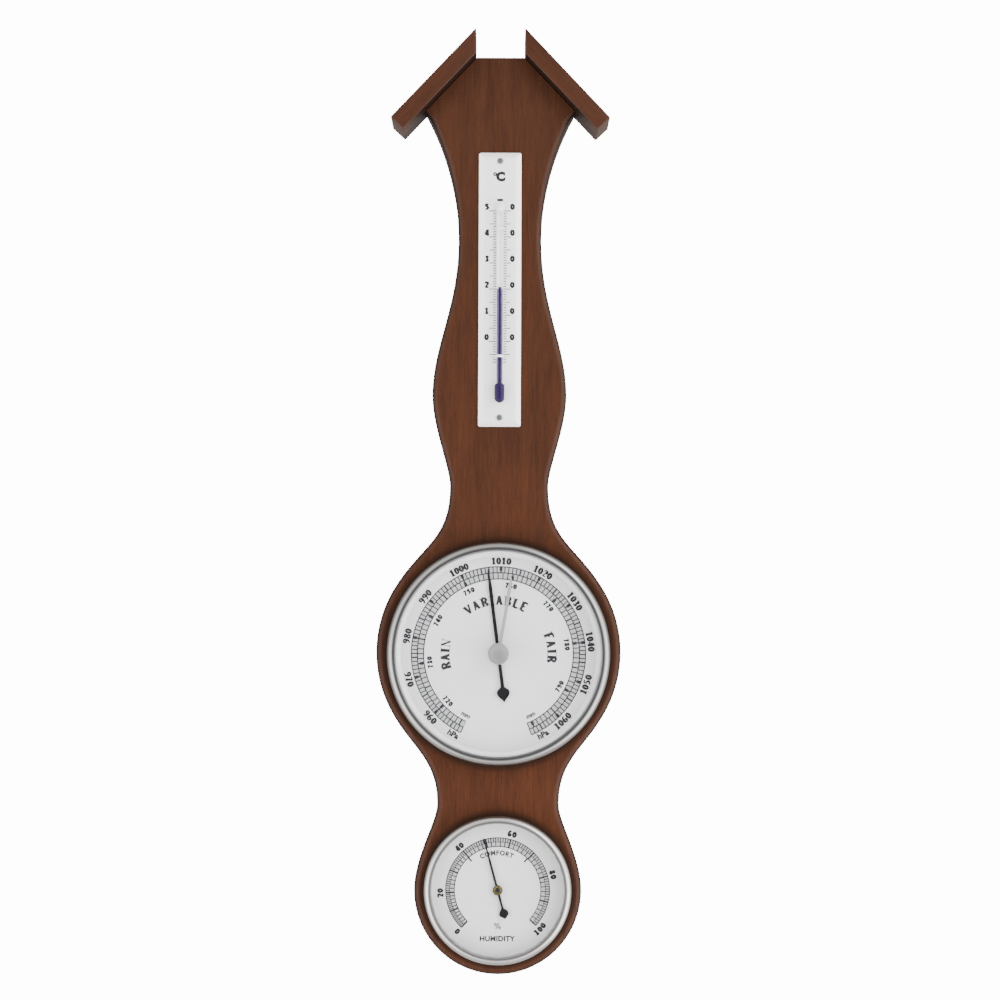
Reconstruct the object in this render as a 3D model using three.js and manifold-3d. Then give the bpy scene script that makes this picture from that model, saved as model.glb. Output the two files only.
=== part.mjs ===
// Wall weather station: a banjo-shaped wooden board under a small roof, carrying a spirit thermometer,
// an aneroid barometer and a hygrometer. Lengths are in millimetres.
// X runs to the right, Y runs into the wall and Z runs up. The origin is the top of the hanger's keyhole
// slot, in the plane of the wall. "Depth" below is the distance in front of the wall, so a point's y is
// minus its depth.
import * as THREE from 'three';
import { mergeVertices } from 'three/addons/utils/BufferGeometryUtils.js';
import Module from 'manifold-3d';

// Clearances
const seatGap = 0.3; // between faces that rest on or are glued to each other
const pinGap = 0.15; // round pins, screws and shafts
const boreGap = 0.3; // round the instrument cases in the board

// Board: heights are measured from the centre of the large lobe
const boardThickness = 18;
const edgeRound = 3;
const mainLobeRadius = 56.8;
const mainShoulderAngle = 31;
const mainUnderAngle = 22.5;
const upperNeckHalf = 22.9;
const upperNeckHeight = 77;
const bulgeHalf = 31.35;
const bulgeHeight = 119.7;
const waistHalf = 19.4;
const waistHeight = 192;
const waistRadius = 130;
const lowerNeckHalf = 28.15;
const lowerNeckHeight = -70;
const lowerLobeRadius = 38.65;
const lowerLobeHeight = -109.75;
const lowerShoulderAngle = 11;
const topHalf = 11.4;
const topHeight = 278.7;

// Roof
const roofPitch = 46.7;
const slatThickness = 8.5;
const slatLength = 58.35;
const slatDepth = 27;
const slatEase = 0.6;

// Hanger let into the back of the board
const hangerDrop = 20.7; // keyhole slot's top below the board's top
const hangerLength = 38;
const hangerWidth = 16;
const hangerThickness = 1.2;
const hangerSink = 0.1; // hanger's back in front of the wall
const slotHalf = 2.4;
const slotLength = 7;
const keyholeRadius = 4.3;
const nailPocketHalf = 5.6;
const nailPocketDepth = 9;
const hangerScrewSpacing = 28;
const hangerScrewLength = 12;
const hangerScrewRadius = 1.4;
const hangerScrewHead = 2.8;
const hangerScrewPoint = 2; // length of its tapering end

// Barometer
const barometerHeight = -0.85; // its axis, from the centre of the large lobe
const barometerBore = 47;
const barometerBezelRadius = 51.5;
const barometerOpening = 47.2;
const barometerCaseFloor = 2.4; // depth of the case's outside
const barometerCaseWall = 1;
const barometerFlange = 50;
const barometerDialRadius = 48;
const dialThickness = 0.6;
const spacerHeight = 3.5;
const spacerInner = 44.2;
const barometerGlass = 2;
const barometerLip = 1.6;
const barometerBezelRoll = 2.2;
const barometerReading = -7.2; // pointer's angle from upright, clockwise
const pointerThickness = 0.5;
const pointerTipHalf = 0.2;
const pointerLift = 0.8; // pointer over the dial
const barometerPointerTip = 39.4;
const barometerPointerTaper = 8; // length of the narrowing stretch behind its tip
const barometerPointerTail = 22.7;
const barometerPointerHalf = 0.7;
const barometerPointerHub = 2.8;
const barometerSpadeStart = 15.3;
const barometerSpadeWide = 17.6;
const barometerSpadeHalf = 2.5;
const setHandAngle = 9.5;
const setHandTip = 36;
const setHandPoint = 3; // length of its narrowing end
const setHandHalf = 0.7;
const setHandHub = 3.5;
const washerRadius = 3.7;
const washerThickness = 0.8;
const knobRadius = 5.05;
const knobHeight = 5.6;
const knobEase = 0.7;
const knobStem = 1.5;
const dialHoleGap = 1; // round the arbor in the dial

// Aneroid movement behind the barometer's dial
const movementPlateRadius = 43;
const movementPlateThickness = 1.4;
const movementScrewCircle = 30;
const movementScrewRadius = 1.2;
const movementScrewHead = 2.4;
const movementScrewHeadThickness = 1.2;
const capsuleRadius = 17;
const capsuleHeight = 4.2;
const capsuleRim = 0.4; // height of its soldered rim
const capsuleRipple = 0.5;
const capsuleDrop = 14; // capsule's axis below the pointer's
const postRadius = 1.2;
const postHead = 2.4;
const postHeadThickness = 0.8;
const springThickness = 0.8;
const springHalfWidth = 6;
const springRise = 1.6; // spring's underside over the capsule
const springPast = 4.8; // spring's free end past the post's head
const springFootDrop = 37;
const springFootLength = 8;
const springBend = 3; // height over which it climbs from its foot
const springBlockHeight = 3;
const adjusterRadius = 1.4;
const adjusterHead = 2.7;
const adjusterHeadThickness = 1.5;
const adjusterSlotHalf = 0.4;
const adjusterSlotDepth = 0.7;
const adjusterTipCover = 0.5; // block left over its tip
const leverThickness = 1;
const leverLap = 4; // lever's foot over the spring's end
const leverSide = 10.5; // lever's arm to the right of the pointer's axis
const leverArmHalf = 1.2;
const leverTip = 15;
const leverPinRadius = 0.7;
const shaftHeight = 18; // rocking shaft above the pointer's axis
const shaftRise = 2.6; // rocking shaft over the bracket's seat
const shaftRadius = 0.8;
const pivotRadius = 0.4;
const shortArmHalf = 1;
const armThickness = 1;
const longArmHalf = 0.4;
const longArmPast = 0.3; // long arm past the chain's line
const bracketLeft = -9;
const bracketRight = 15;
const bracketWall = 1;
const bracketHalf = 2.5;
const bracketOver = 0.7; // bracket's lugs over the shaft
const cageToDial = 1;
const cageBar = 0.9;
const cageWindow = 2.4;
const cageWidthHalf = 3.5;
const cageHalf = 14;
const cageFootHalf = 21;
const pillarSide = 18.5;
const pillarRadius = 2.2;
const cageScrewRadius = 1;
const cageScrewHead = 1.9;
const cageScrewHeadThickness = 1;
const cageScrewLength = 3.5;
const arborRadius = 0.6;
const arborProud = 0.1; // arbor in front of the pointer
const drumRadius = 0.8;
const drumFlange = 1.3;
const drumFlangeThickness = 0.2;
const drumLength = 0.9;
const drumLift = 0.6; // drum over the cage's lower bar
const chainRadius = 0.15;
const chainGap = 0.15; // between the chain and the drum
const hairspringInner = 1.1;
const hairspringOuter = 5;
const hairspringTurns = 3;
const hairspringStrip = 0.2;
const hairspringWidth = 0.5;
const hairspringLift = 0.25; // hairspring over the drum
const hairspringStud = 1;

// Hygrometer
const hygrometerHeight = -109.3;
const hygrometerBore = 29.5;
const hygrometerBezelRadius = 33.9;
const hygrometerOpening = 30.6;
const hygrometerCaseFloor = 5;
const hygrometerCaseWall = 0.8;
const hygrometerFlange = 32;
const hygrometerDialRadius = 31.2;
const hygrometerSpacerHeight = 3.1;
const hygrometerGlass = 1.5;
const hygrometerLip = 1.4;
const hygrometerBezelRoll = 1.8;
const hygrometerReading = -15.3;
const hygrometerPointerTip = 24.5;
const hygrometerPointerTaper = 5;
const hygrometerPointerTail = 13.8;
const hygrometerPointerHalf = 0.65;
const hygrometerSpadeStart = 8.6;
const hygrometerSpadeWide = 11;
const hygrometerSpadeHalf = 2;
const ventCircle = 20;
const ventRadius = 2.5;
const hygrometerArbor = 0.75;
const hygrometerArborProud = 0.3; // arbor in front of the collet
const colletRadius = 2.35;
const colletBarrel = 1.45;
const colletBarrelBack = 0.3; // collet's barrel behind the pointer
const colletHeadThickness = 0.7;
const pointerHubWidth = 0.8; // pointer's hub round the collet's barrel
const bushRadius = 1.9;
const bushFlange = 2.9;
const bushFlangeThickness = 0.7;
const bushTail = 1.5; // bush behind its flange
const coilInner = 3;
const coilOuter = 17;
const coilTurns = 3;
const coilStrip = 0.4;
const coilWidth = 5;
const coilLift = 3.2; // coil over the floor of the case
const coilBracketFoot = 5;
const coilBracketWall = 1;
const coilBracketHalf = 3;

// Bezels of both instruments
const bezelRollEnd = 125; // from the outside round to where the slope to the glass starts
const bezelEdge = 0.5; // thickness of the lip at the opening

// Thermometer
const scalePlateWidth = 20.3;
const scalePlateLength = 128.9;
const scalePlateHeight = 169; // centre of the plate, from the centre of the large lobe
const scalePlateThickness = 1.6;
const scalePlateBevel = 2.6;
const scalePlateEdge = 0.8; // upright part of its edge
const plateNailSpacing = 120.2;
const plateNailHead = 1.2;
const plateNailHeadEdge = 0.4;
const plateNailDome = 0.2;
const plateNailShank = 0.7;
const plateNailLength = 9;
const plateNailPoint = 1.5;
const tubeRadius = 1.65;
const tubeBore = 0.85;
const tubeBend = 3;
const tubeLegEnd = 4; // end of its bent leg below the board's front
const tubeEntryRise = 39.4; // where the tube enters the plate, above the plate's centre
const bulbRadius = 2.25;
const bulbLength = 9.4;
const bulbDrop = 48.6; // bulb's centre below the plate's centre
const glassWall = 0.4;
const columnRadius = 0.7;
const columnTopRise = 0.6; // top of the column above the plate's centre
const meniscusLength = 0.8;
const meniscusDip = 0.25;
const upperClipDrop = 11.4; // below the tube's entry
const upperClipWidth = 1.2;
const lowerClipRise = 17; // above the bulb's centre
const lowerClipWidth = 1.9;
const clipThickness = 0.4;
const clipFoot = 1.4;

const hangerHeight = topHeight - hangerDrop;

// Sides of the round pieces, from the widest to the narrowest
const largeRound = 48;
const mediumRound = 32;
const capsuleRound = 18;
const knobRound = 24;
const smallRound = 16;
const tinyRound = 10;
const tubeRound = 12;
const chainRound = 6;

const past = 1; // a cutting tool runs this far past the face that it opens
const rad = THREE.MathUtils.degToRad;

const wasm = await Module();
wasm.setup();

// One closed surface with shared corners and its faces turned outwards
function closed(geometry) {
  const bare = geometry.clone();
  for (const name of ['normal', 'uv']) if (bare.getAttribute(name)) bare.deleteAttribute(name);
  const merged = mergeVertices(bare, 1e-4);
  const position = merged.getAttribute('position');
  const corner = (i) => new THREE.Vector3().fromBufferAttribute(position, i);
  const faces = [];
  let volume = 0;
  for (let i = 0; i < merged.index.count; i += 3) {
    const [a, b, c] = [0, 1, 2].map((k) => merged.index.getX(i + k));
    if (a === b || b === c || c === a) continue;
    faces.push([a, b, c]);
    volume += corner(a).dot(corner(b).cross(corner(c)));
  }
  merged.setIndex((volume < 0 ? faces.map(([a, b, c]) => [a, c, b]) : faces).flat());
  return merged;
}

function toManifold(geometry) {
  const mesh = closed(geometry);
  return new wasm.Manifold(new wasm.Mesh({
    numProp: 3,
    vertProperties: new Float32Array(mesh.getAttribute('position').array),
    triVerts: new Uint32Array(mesh.index.array),
  }));
}

function fromManifold(body) {
  const mesh = body.getMesh();
  const geometry = new THREE.BufferGeometry();
  geometry.setAttribute('position', new THREE.BufferAttribute(new Float32Array(mesh.vertProperties), 3));
  geometry.setIndex(Array.from(mesh.triVerts));
  return geometry;
}

const cut = (geometry, ...tools) =>
  fromManifold(tools.reduce((body, tool) => body.subtract(toManifold(tool)), toManifold(geometry)));
const join = (geometry, ...others) =>
  fromManifold(others.reduce((body, other) => body.add(toManifold(other)), toManifold(geometry)));

// A turned piece about an axis along Y: its profile is [radius, depth] pairs, closed or ending on the axis
function turned(profile, segments) {
  const points = profile.map(([radius, depth]) => new THREE.Vector2(radius, -depth));
  if (points[0].x > 0 || points.at(-1).x > 0) points.push(points[0].clone());
  return closed(new THREE.LatheGeometry(points, segments));
}

const disc = (radius, back, front, segments) =>
  turned([[0, back], [radius, back], [radius, front], [0, front]], segments);
const ring = (inner, outer, back, front, segments) =>
  turned([[inner, back], [outer, back], [outer, front], [inner, front]], segments);

// Points of a round arris in a turned profile: a bearing of 0 is outwards and 90 is to the front
const arris = (centreRadius, centreDepth, radius, from, to, steps) =>
  Array.from({ length: steps + 1 }, (_, i) => {
    const turn = rad(from + ((to - from) * i) / steps);
    return [centreRadius + radius * Math.cos(turn), centreDepth + radius * Math.sin(turn)];
  });

// A flat piece: a shape drawn in X and Z as seen from the front, between two depths
function plate(shape, back, front, ease = 0) {
  const bevel = { bevelSize: ease, bevelOffset: -ease, bevelThickness: ease, bevelSegments: 1 };
  const depth = front - back - 2 * ease;
  const options = { depth, steps: 1, curveSegments: 8, bevelEnabled: ease > 0, ...bevel };
  return closed(new THREE.ExtrudeGeometry(shape, options).translate(0, 0, ease).rotateX(Math.PI / 2)
    .translate(0, -back, 0));
}

// A bar with its section drawn in X and depth, running from one height to another
function barUp(section, bottom, top) {
  const shape = new THREE.Shape(section.map(([x, depth]) => new THREE.Vector2(x, -depth)));
  return closed(new THREE.ExtrudeGeometry(shape, { depth: top - bottom, bevelEnabled: false })
    .translate(0, 0, bottom));
}

// A bar with its section drawn in height and depth, running from left to right
function barAcross(section, left, right) {
  const shape = new THREE.Shape(section.map(([height, depth]) => new THREE.Vector2(-depth, height)));
  const turn = new THREE.Matrix4().makeBasis(
    new THREE.Vector3(0, 1, 0), new THREE.Vector3(0, 0, 1), new THREE.Vector3(1, 0, 0));
  return closed(new THREE.ExtrudeGeometry(shape, { depth: right - left, bevelEnabled: false })
    .applyMatrix4(turn).translate(left, 0, 0));
}

const polygon = (points) => new THREE.Shape(points.map(([x, z]) => new THREE.Vector2(x, z)));
const rectangle = (left, bottom, right, top) => [[left, bottom], [right, bottom], [right, top], [left, top]];
const block = (left, right, bottom, top, back, front) =>
  plate(polygon(rectangle(left, bottom, right, top)), back, front);

// A flat strip wound in a spiral about the Y axis, its ends square
function spiralStrip(inner, outer, turns, thickness, back, front, stepsPerTurn) {
  const steps = turns * stepsPerTurn;
  const edge = (offset) => Array.from({ length: steps + 1 }, (_, i) => {
    const angle = (2 * Math.PI * turns * i) / steps;
    const radius = inner + ((outer - inner) * i) / steps + offset;
    return new THREE.Vector2(radius * Math.cos(angle), radius * Math.sin(angle));
  });
  return plate(new THREE.Shape([...edge(thickness / 2), ...edge(-thickness / 2).reverse()]), back, front);
}

const finishes = {
  walnut: { color: 0x5e3924, roughness: 0.45, metalness: 0 },
  roofWood: { color: 0x744f3e, roughness: 0.5, metalness: 0 },
  silver: { color: 0xc9cacc, roughness: 0.25, metalness: 1 },
  tin: { color: 0x9b9d9f, roughness: 0.4, metalness: 1 },
  brass: { color: 0xb08d4a, roughness: 0.35, metalness: 1 },
  steel: { color: 0x7e8286, roughness: 0.35, metalness: 1 },
  dialSilver: { color: 0xd6d6d6, roughness: 0.5, metalness: 0.3 },
  white: { color: 0xe6e6e4, roughness: 0.5, metalness: 0 },
  black: { color: 0x141416, roughness: 0.4, metalness: 0 },
  glass: { color: 0xf2f6f8, roughness: 0.02, metalness: 0, transparent: true, opacity: 0.25 },
  spirit: { color: 0x3f1d6e, roughness: 0.2, metalness: 0 },
};

function piece(parent, name, geometry, finish) {
  const mesh = new THREE.Mesh(geometry, new THREE.MeshStandardMaterial(finishes[finish]));
  mesh.name = name;
  parent.add(mesh);
  return mesh;
}

function groupAt(parent, height) {
  const group = new THREE.Group();
  group.position.z = height;
  parent.add(group);
  return group;
}

// The roof's slope, as seen from the front: down its right side, and square out of it
const slope = new THREE.Vector2(Math.cos(rad(roofPitch)), -Math.sin(rad(roofPitch)));
const slopeNormal = new THREE.Vector2(Math.sin(rad(roofPitch)), Math.cos(rad(roofPitch)));
const along = (point, direction, distance) => point.clone().addScaledVector(direction, distance);

// The board's right side, as curves from under the roof down to the middle of the lower lobe
function sideCurves() {
  const waistCentre = new THREE.Vector2(waistHalf + waistRadius, waistHeight);
  const topCorner = new THREE.Vector2(topHalf - seatGap / Math.sin(rad(roofPitch)), topHeight);
  const fromCentre = topCorner.clone().sub(waistCentre);
  const nearest = -fromCentre.dot(slope);
  const reach = nearest - Math.sqrt(nearest ** 2 - fromCentre.lengthSq() + waistRadius ** 2);
  const shoulder = along(topCorner, slope, reach);
  const shoulderTurn = shoulder.clone().sub(waistCentre).angle();

  const waist = new THREE.Vector2(waistHalf, waistHeight);
  const bulge = new THREE.Vector2(bulgeHalf, bulgeHeight);
  const upperNeck = new THREE.Vector2(upperNeckHalf, upperNeckHeight);
  const lowerNeck = new THREE.Vector2(lowerNeckHalf, lowerNeckHeight);
  const onLobe = (radius, height, degrees) =>
    new THREE.Vector2(radius * Math.cos(rad(degrees)), height + radius * Math.sin(rad(degrees)));
  const mainTop = onLobe(mainLobeRadius, 0, mainShoulderAngle);
  const mainUnder = onLobe(mainLobeRadius, 0, -mainUnderAngle);
  const lowerTop = onLobe(lowerLobeRadius, lowerLobeHeight, lowerShoulderAngle);
  const down = new THREE.Vector2(0, -1);
  const roundLobe = (degrees) => new THREE.Vector2(Math.sin(rad(degrees)), -Math.cos(rad(degrees)));

  const blend = (from, leave, leavePull, to, arrive, arrivePull) => {
    const span = from.distanceTo(to);
    return new THREE.CubicBezierCurve(
      from, along(from, leave, leavePull * span), along(to, arrive, -arrivePull * span), to);
  };
  const arc = (centreX, centreZ, radius, from, to, clockwise) =>
    new THREE.EllipseCurve(centreX, centreZ, radius, radius, from, to, clockwise, 0);

  const lobeArc = (radius, height, from, to) => arc(0, height, radius, rad(from), rad(to), true);
  return [
    { curve: arc(waistCentre.x, waistCentre.y, waistRadius, shoulderTurn, Math.PI, false), steps: 6 },
    { curve: blend(waist, down, 0.42, bulge, down, 0.32), steps: 8 },
    { curve: blend(bulge, down, 0.35, upperNeck, down, 0.2), steps: 8 },
    { curve: blend(upperNeck, down, 0.47, mainTop, roundLobe(mainShoulderAngle), 0.445), steps: 8 },
    { curve: lobeArc(mainLobeRadius, 0, mainShoulderAngle, 0), steps: 6 },
    { curve: lobeArc(mainLobeRadius, 0, 0, -mainUnderAngle), steps: 5 },
    { curve: blend(mainUnder, roundLobe(-mainUnderAngle), 0.43, lowerNeck, down, 0.42), steps: 7 },
    { curve: blend(lowerNeck, down, 0.22, lowerTop, roundLobe(lowerShoulderAngle), 0.43), steps: 6 },
    { curve: lobeArc(lowerLobeRadius, lowerLobeHeight, lowerShoulderAngle, 0), steps: 2 },
    { curve: lobeArc(lowerLobeRadius, lowerLobeHeight, 0, -90), steps: 14 },
  ];
}

// The whole outline, drawn in by an inset along the moulded sides but not under the roof or at the top
function boardOutline(inset) {
  const side = sideCurves().flatMap(({ curve, steps }, i) => curve.getPoints(steps).slice(i ? 1 : 0));
  const drawnIn = side.map((point, i) => {
    if (i === 0) return point.clone();
    if (i === side.length - 1) return new THREE.Vector2(0, point.y + inset);
    const tangent = side[i + 1].clone().sub(side[i - 1]).normalize();
    return along(point, new THREE.Vector2(tangent.y, -tangent.x), inset);
  });
  const corner = new THREE.Vector2(topHalf - seatGap / Math.sin(rad(roofPitch)), topHeight);
  const right = [corner, ...drawnIn];
  const left = right.slice(0, -1).reverse().map((point) => new THREE.Vector2(-point.x, point.y));
  return [...right, ...left].reverse();
}

// The board without its bores: rings of the outline from back to front, the last ones rounding the edge
function boardBlank() {
  const roundSteps = 3;
  const rings = [{ inset: 0, depth: 0 }];
  for (let i = 0; i <= roundSteps; i += 1) {
    const turn = (Math.PI / 2) * (i / roundSteps);
    rings.push({
      inset: edgeRound * (1 - Math.cos(turn)),
      depth: boardThickness - edgeRound + edgeRound * Math.sin(turn),
    });
  }
  const outlines = rings.map(({ inset }) => boardOutline(inset));
  const count = outlines[0].length;
  const position = outlines.flatMap((outline, k) => outline.flatMap(({ x, y }) => [x, -rings[k].depth, y]));
  const index = [];
  for (let k = 0; k < rings.length - 1; k += 1) {
    for (let i = 0; i < count; i += 1) {
      const [a, b] = [k * count + i, k * count + ((i + 1) % count)];
      index.push(a, b, b + count, a, b + count, a + count);
    }
  }
  const cap = (outline, start, flip) => THREE.ShapeUtils.triangulateShape(outline, [])
    .forEach(([a, b, c]) => index.push(start + a, start + (flip ? c : b), start + (flip ? b : c)));
  cap(outlines[0], 0, true);
  cap(outlines.at(-1), count * (rings.length - 1), false);
  const geometry = new THREE.BufferGeometry();
  geometry.setAttribute('position', new THREE.Float32BufferAttribute(position, 3));
  geometry.setIndex(index);
  return closed(geometry);
}

const throughBoard = [-past, boardThickness + past];
const plateFront = boardThickness + seatGap + scalePlateThickness;
const tubeDepth = plateFront + seatGap + bulbRadius;
const tubeEntryHeight = scalePlateHeight + tubeEntryRise;
const bulbHeight = scalePlateHeight - bulbDrop;
const columnTopHeight = scalePlateHeight + columnTopRise;
const legEndDepth = boardThickness - tubeLegEnd;

// The outline of the keyhole, its slot ending at a height of 0
function keyholeShape(grow) {
  const radius = keyholeRadius + grow;
  const half = slotHalf + grow;
  const centre = -slotLength;
  const meet = Math.asin(half / radius);
  const shape = new THREE.Shape();
  shape.absarc(0, centre, radius, Math.PI / 2 - meet, Math.PI / 2 + meet, true);
  shape.absarc(0, -slotHalf, half, Math.PI, 0, true);
  return shape;
}

function nailPocketShape() {
  const shape = new THREE.Shape();
  shape.absarc(0, -slotLength, nailPocketHalf, Math.PI, 2 * Math.PI, false);
  shape.absarc(0, -slotHalf, nailPocketHalf, 0, Math.PI, false);
  return shape;
}

// A countersunk wood screw with its head at the back, or its hole when it is grown by a clearance
function woodScrew(grow) {
  const headBack = grow > 0 ? -past : seatGap;
  const coneEnd = seatGap + hangerScrewHead - hangerScrewRadius;
  return turned([
    [0, headBack], [hangerScrewHead + grow, headBack], [hangerScrewHead + grow, seatGap],
    [hangerScrewRadius + grow, coneEnd], [hangerScrewRadius + grow, hangerScrewLength - hangerScrewPoint],
    [0, hangerScrewLength + grow],
  ], tinyRound);
}

const hangerScrewPlaces = [-1, 1].map((side) => [(side * hangerScrewSpacing) / 2, -slotLength / 2]);
const hangerFront = hangerSink + hangerThickness;

function makeBoard(body, hanger) {
  const toHanger = (geometry) => geometry.translate(0, 0, hangerHeight);
  const recessShape = polygon(rectangle(
    -hangerLength / 2 - seatGap, -slotLength / 2 - hangerWidth / 2 - seatGap,
    hangerLength / 2 + seatGap, -slotLength / 2 + hangerWidth / 2 + seatGap));
  const nailHole = (height) =>
    disc(plateNailShank + pinGap, boardThickness - plateNailLength, boardThickness + past, tinyRound)
      .translate(0, 0, height);
  const board = cut(
    boardBlank(),
    disc(barometerBore, ...throughBoard, largeRound).translate(0, 0, barometerHeight),
    disc(hygrometerBore, ...throughBoard, largeRound).translate(0, 0, hygrometerHeight),
    toHanger(plate(recessShape, -past, hangerFront + seatGap)),
    toHanger(plate(nailPocketShape(), -past, nailPocketDepth)),
    ...hangerScrewPlaces.map(([x, z]) => toHanger(woodScrew(pinGap).translate(x, 0, z))),
    nailHole(scalePlateHeight - plateNailSpacing / 2),
    nailHole(scalePlateHeight + plateNailSpacing / 2),
    disc(tubeRadius + 2 * seatGap, legEndDepth - seatGap, boardThickness + past, smallRound)
      .translate(0, 0, tubeEntryHeight),
  );
  piece(body, 'back_board', board, 'walnut');

  const hangerOutline = polygon(rectangle(
    -hangerLength / 2, -slotLength / 2 - hangerWidth / 2,
    hangerLength / 2, -slotLength / 2 + hangerWidth / 2));
  hangerOutline.holes.push(keyholeShape(0));
  const hangerPlate = cut(
    plate(hangerOutline, hangerSink, hangerFront),
    ...hangerScrewPlaces.map(([x, z]) => woodScrew(pinGap).translate(x, 0, z)),
  );
  piece(hanger, 'hanger_plate', hangerPlate, 'steel');
  hangerScrewPlaces.forEach(([x, z], i) => {
    const screw = piece(hanger, `hanger_screw_${i ? 'right' : 'left'}`, woodScrew(0), 'steel');
    screw.position.set(x, 0, z);
  });
}

function makeRoof(body) {
  const underTop = new THREE.Vector2(topHalf, topHeight);
  const overTop = new THREE.Vector2(topHalf, topHeight + slatThickness / Math.cos(rad(roofPitch)));
  const overEnd = along(overTop, slope, slatLength);
  const underEnd = along(overEnd, slopeNormal, -slatThickness);
  const section = [underTop, underEnd, overEnd, overTop];
  for (const [name, side] of [['left', -1], ['right', 1]]) {
    const shape = polygon(section.map(({ x, y }) => [side * x, y]));
    piece(body, `roof_slat_${name}`, plate(shape, 0, slatDepth, slatEase), 'roofWood');
  }
}

// The front of an instrument, worked out from the board outwards: flange, dial, spacer, glass, bezel
function depthStack(spacer, glass, flange) {
  const flangeBack = boardThickness + seatGap;
  const dialBack = flangeBack + flange + seatGap;
  const dialFront = dialBack + dialThickness;
  const spacerBack = dialFront + seatGap;
  const glassBack = spacerBack + spacer + seatGap;
  const lipBack = glassBack + glass + seatGap;
  return { flangeBack, dialBack, dialFront, spacerBack, glassBack, lipBack };
}

// A thin cup with a rim that lies on the board, and the holes that its floor needs
function makeCase(parent, name, { bore, wall, floor, flange, stack, holes }) {
  const outer = bore - boreGap;
  const cup = turned([
    [0, floor], [outer, floor], [outer, stack.flangeBack], [flange, stack.flangeBack],
    [flange, stack.flangeBack + wall], [outer - wall, stack.flangeBack + wall], [outer - wall, floor + wall],
    [0, floor + wall],
  ], mediumRound);
  const drilled = holes.map(([x, z, radius]) =>
    disc(radius, floor - past, floor + wall + past, tinyRound).translate(x, 0, z));
  piece(parent, name, cut(cup, ...drilled), 'tin');
}

// A pressed bezel: it drops over the flange, turns in over the glass and ends in a rolled lip
function makeBezel(parent, name, { outer, opening, flange, glassRadius, lip, roll, stack, wall }) {
  const base = stack.flangeBack;
  const overFlange = base + wall + seatGap;
  const front = stack.lipBack + lip;
  const bezel = turned([
    [flange + seatGap, base], [outer, base], ...arris(outer - roll, front - roll, roll, 0, bezelRollEnd, 4),
    [opening, stack.lipBack + bezelEdge], [opening, stack.lipBack], [glassRadius + seatGap, stack.lipBack],
    [glassRadius + seatGap, overFlange], [flange + seatGap, overFlange],
  ], largeRound);
  piece(parent, name, bezel, 'silver');
}

// A flat pointer, drawn upright: a tapering blade, a round hub and a spade-shaped tail
function pointerBlade({ tip, taper, tail, spadeStart, spadeWide, spadeHalf, half, hub, hole }, back, front) {
  const right = [
    [pointerTipHalf, tip], [half, tip - taper], [half, -spadeStart], [spadeHalf, -spadeWide], [0, -tail],
  ];
  const left = right.slice(0, -1).reverse().map(([x, z]) => [-x, z]);
  const blade = plate(polygon([...right, ...left].reverse()), back, front);
  const eye = disc(hole, back - past, front + past, tinyRound);
  return cut(join(blade, disc(hub, back, front, smallRound)), eye);
}

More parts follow.
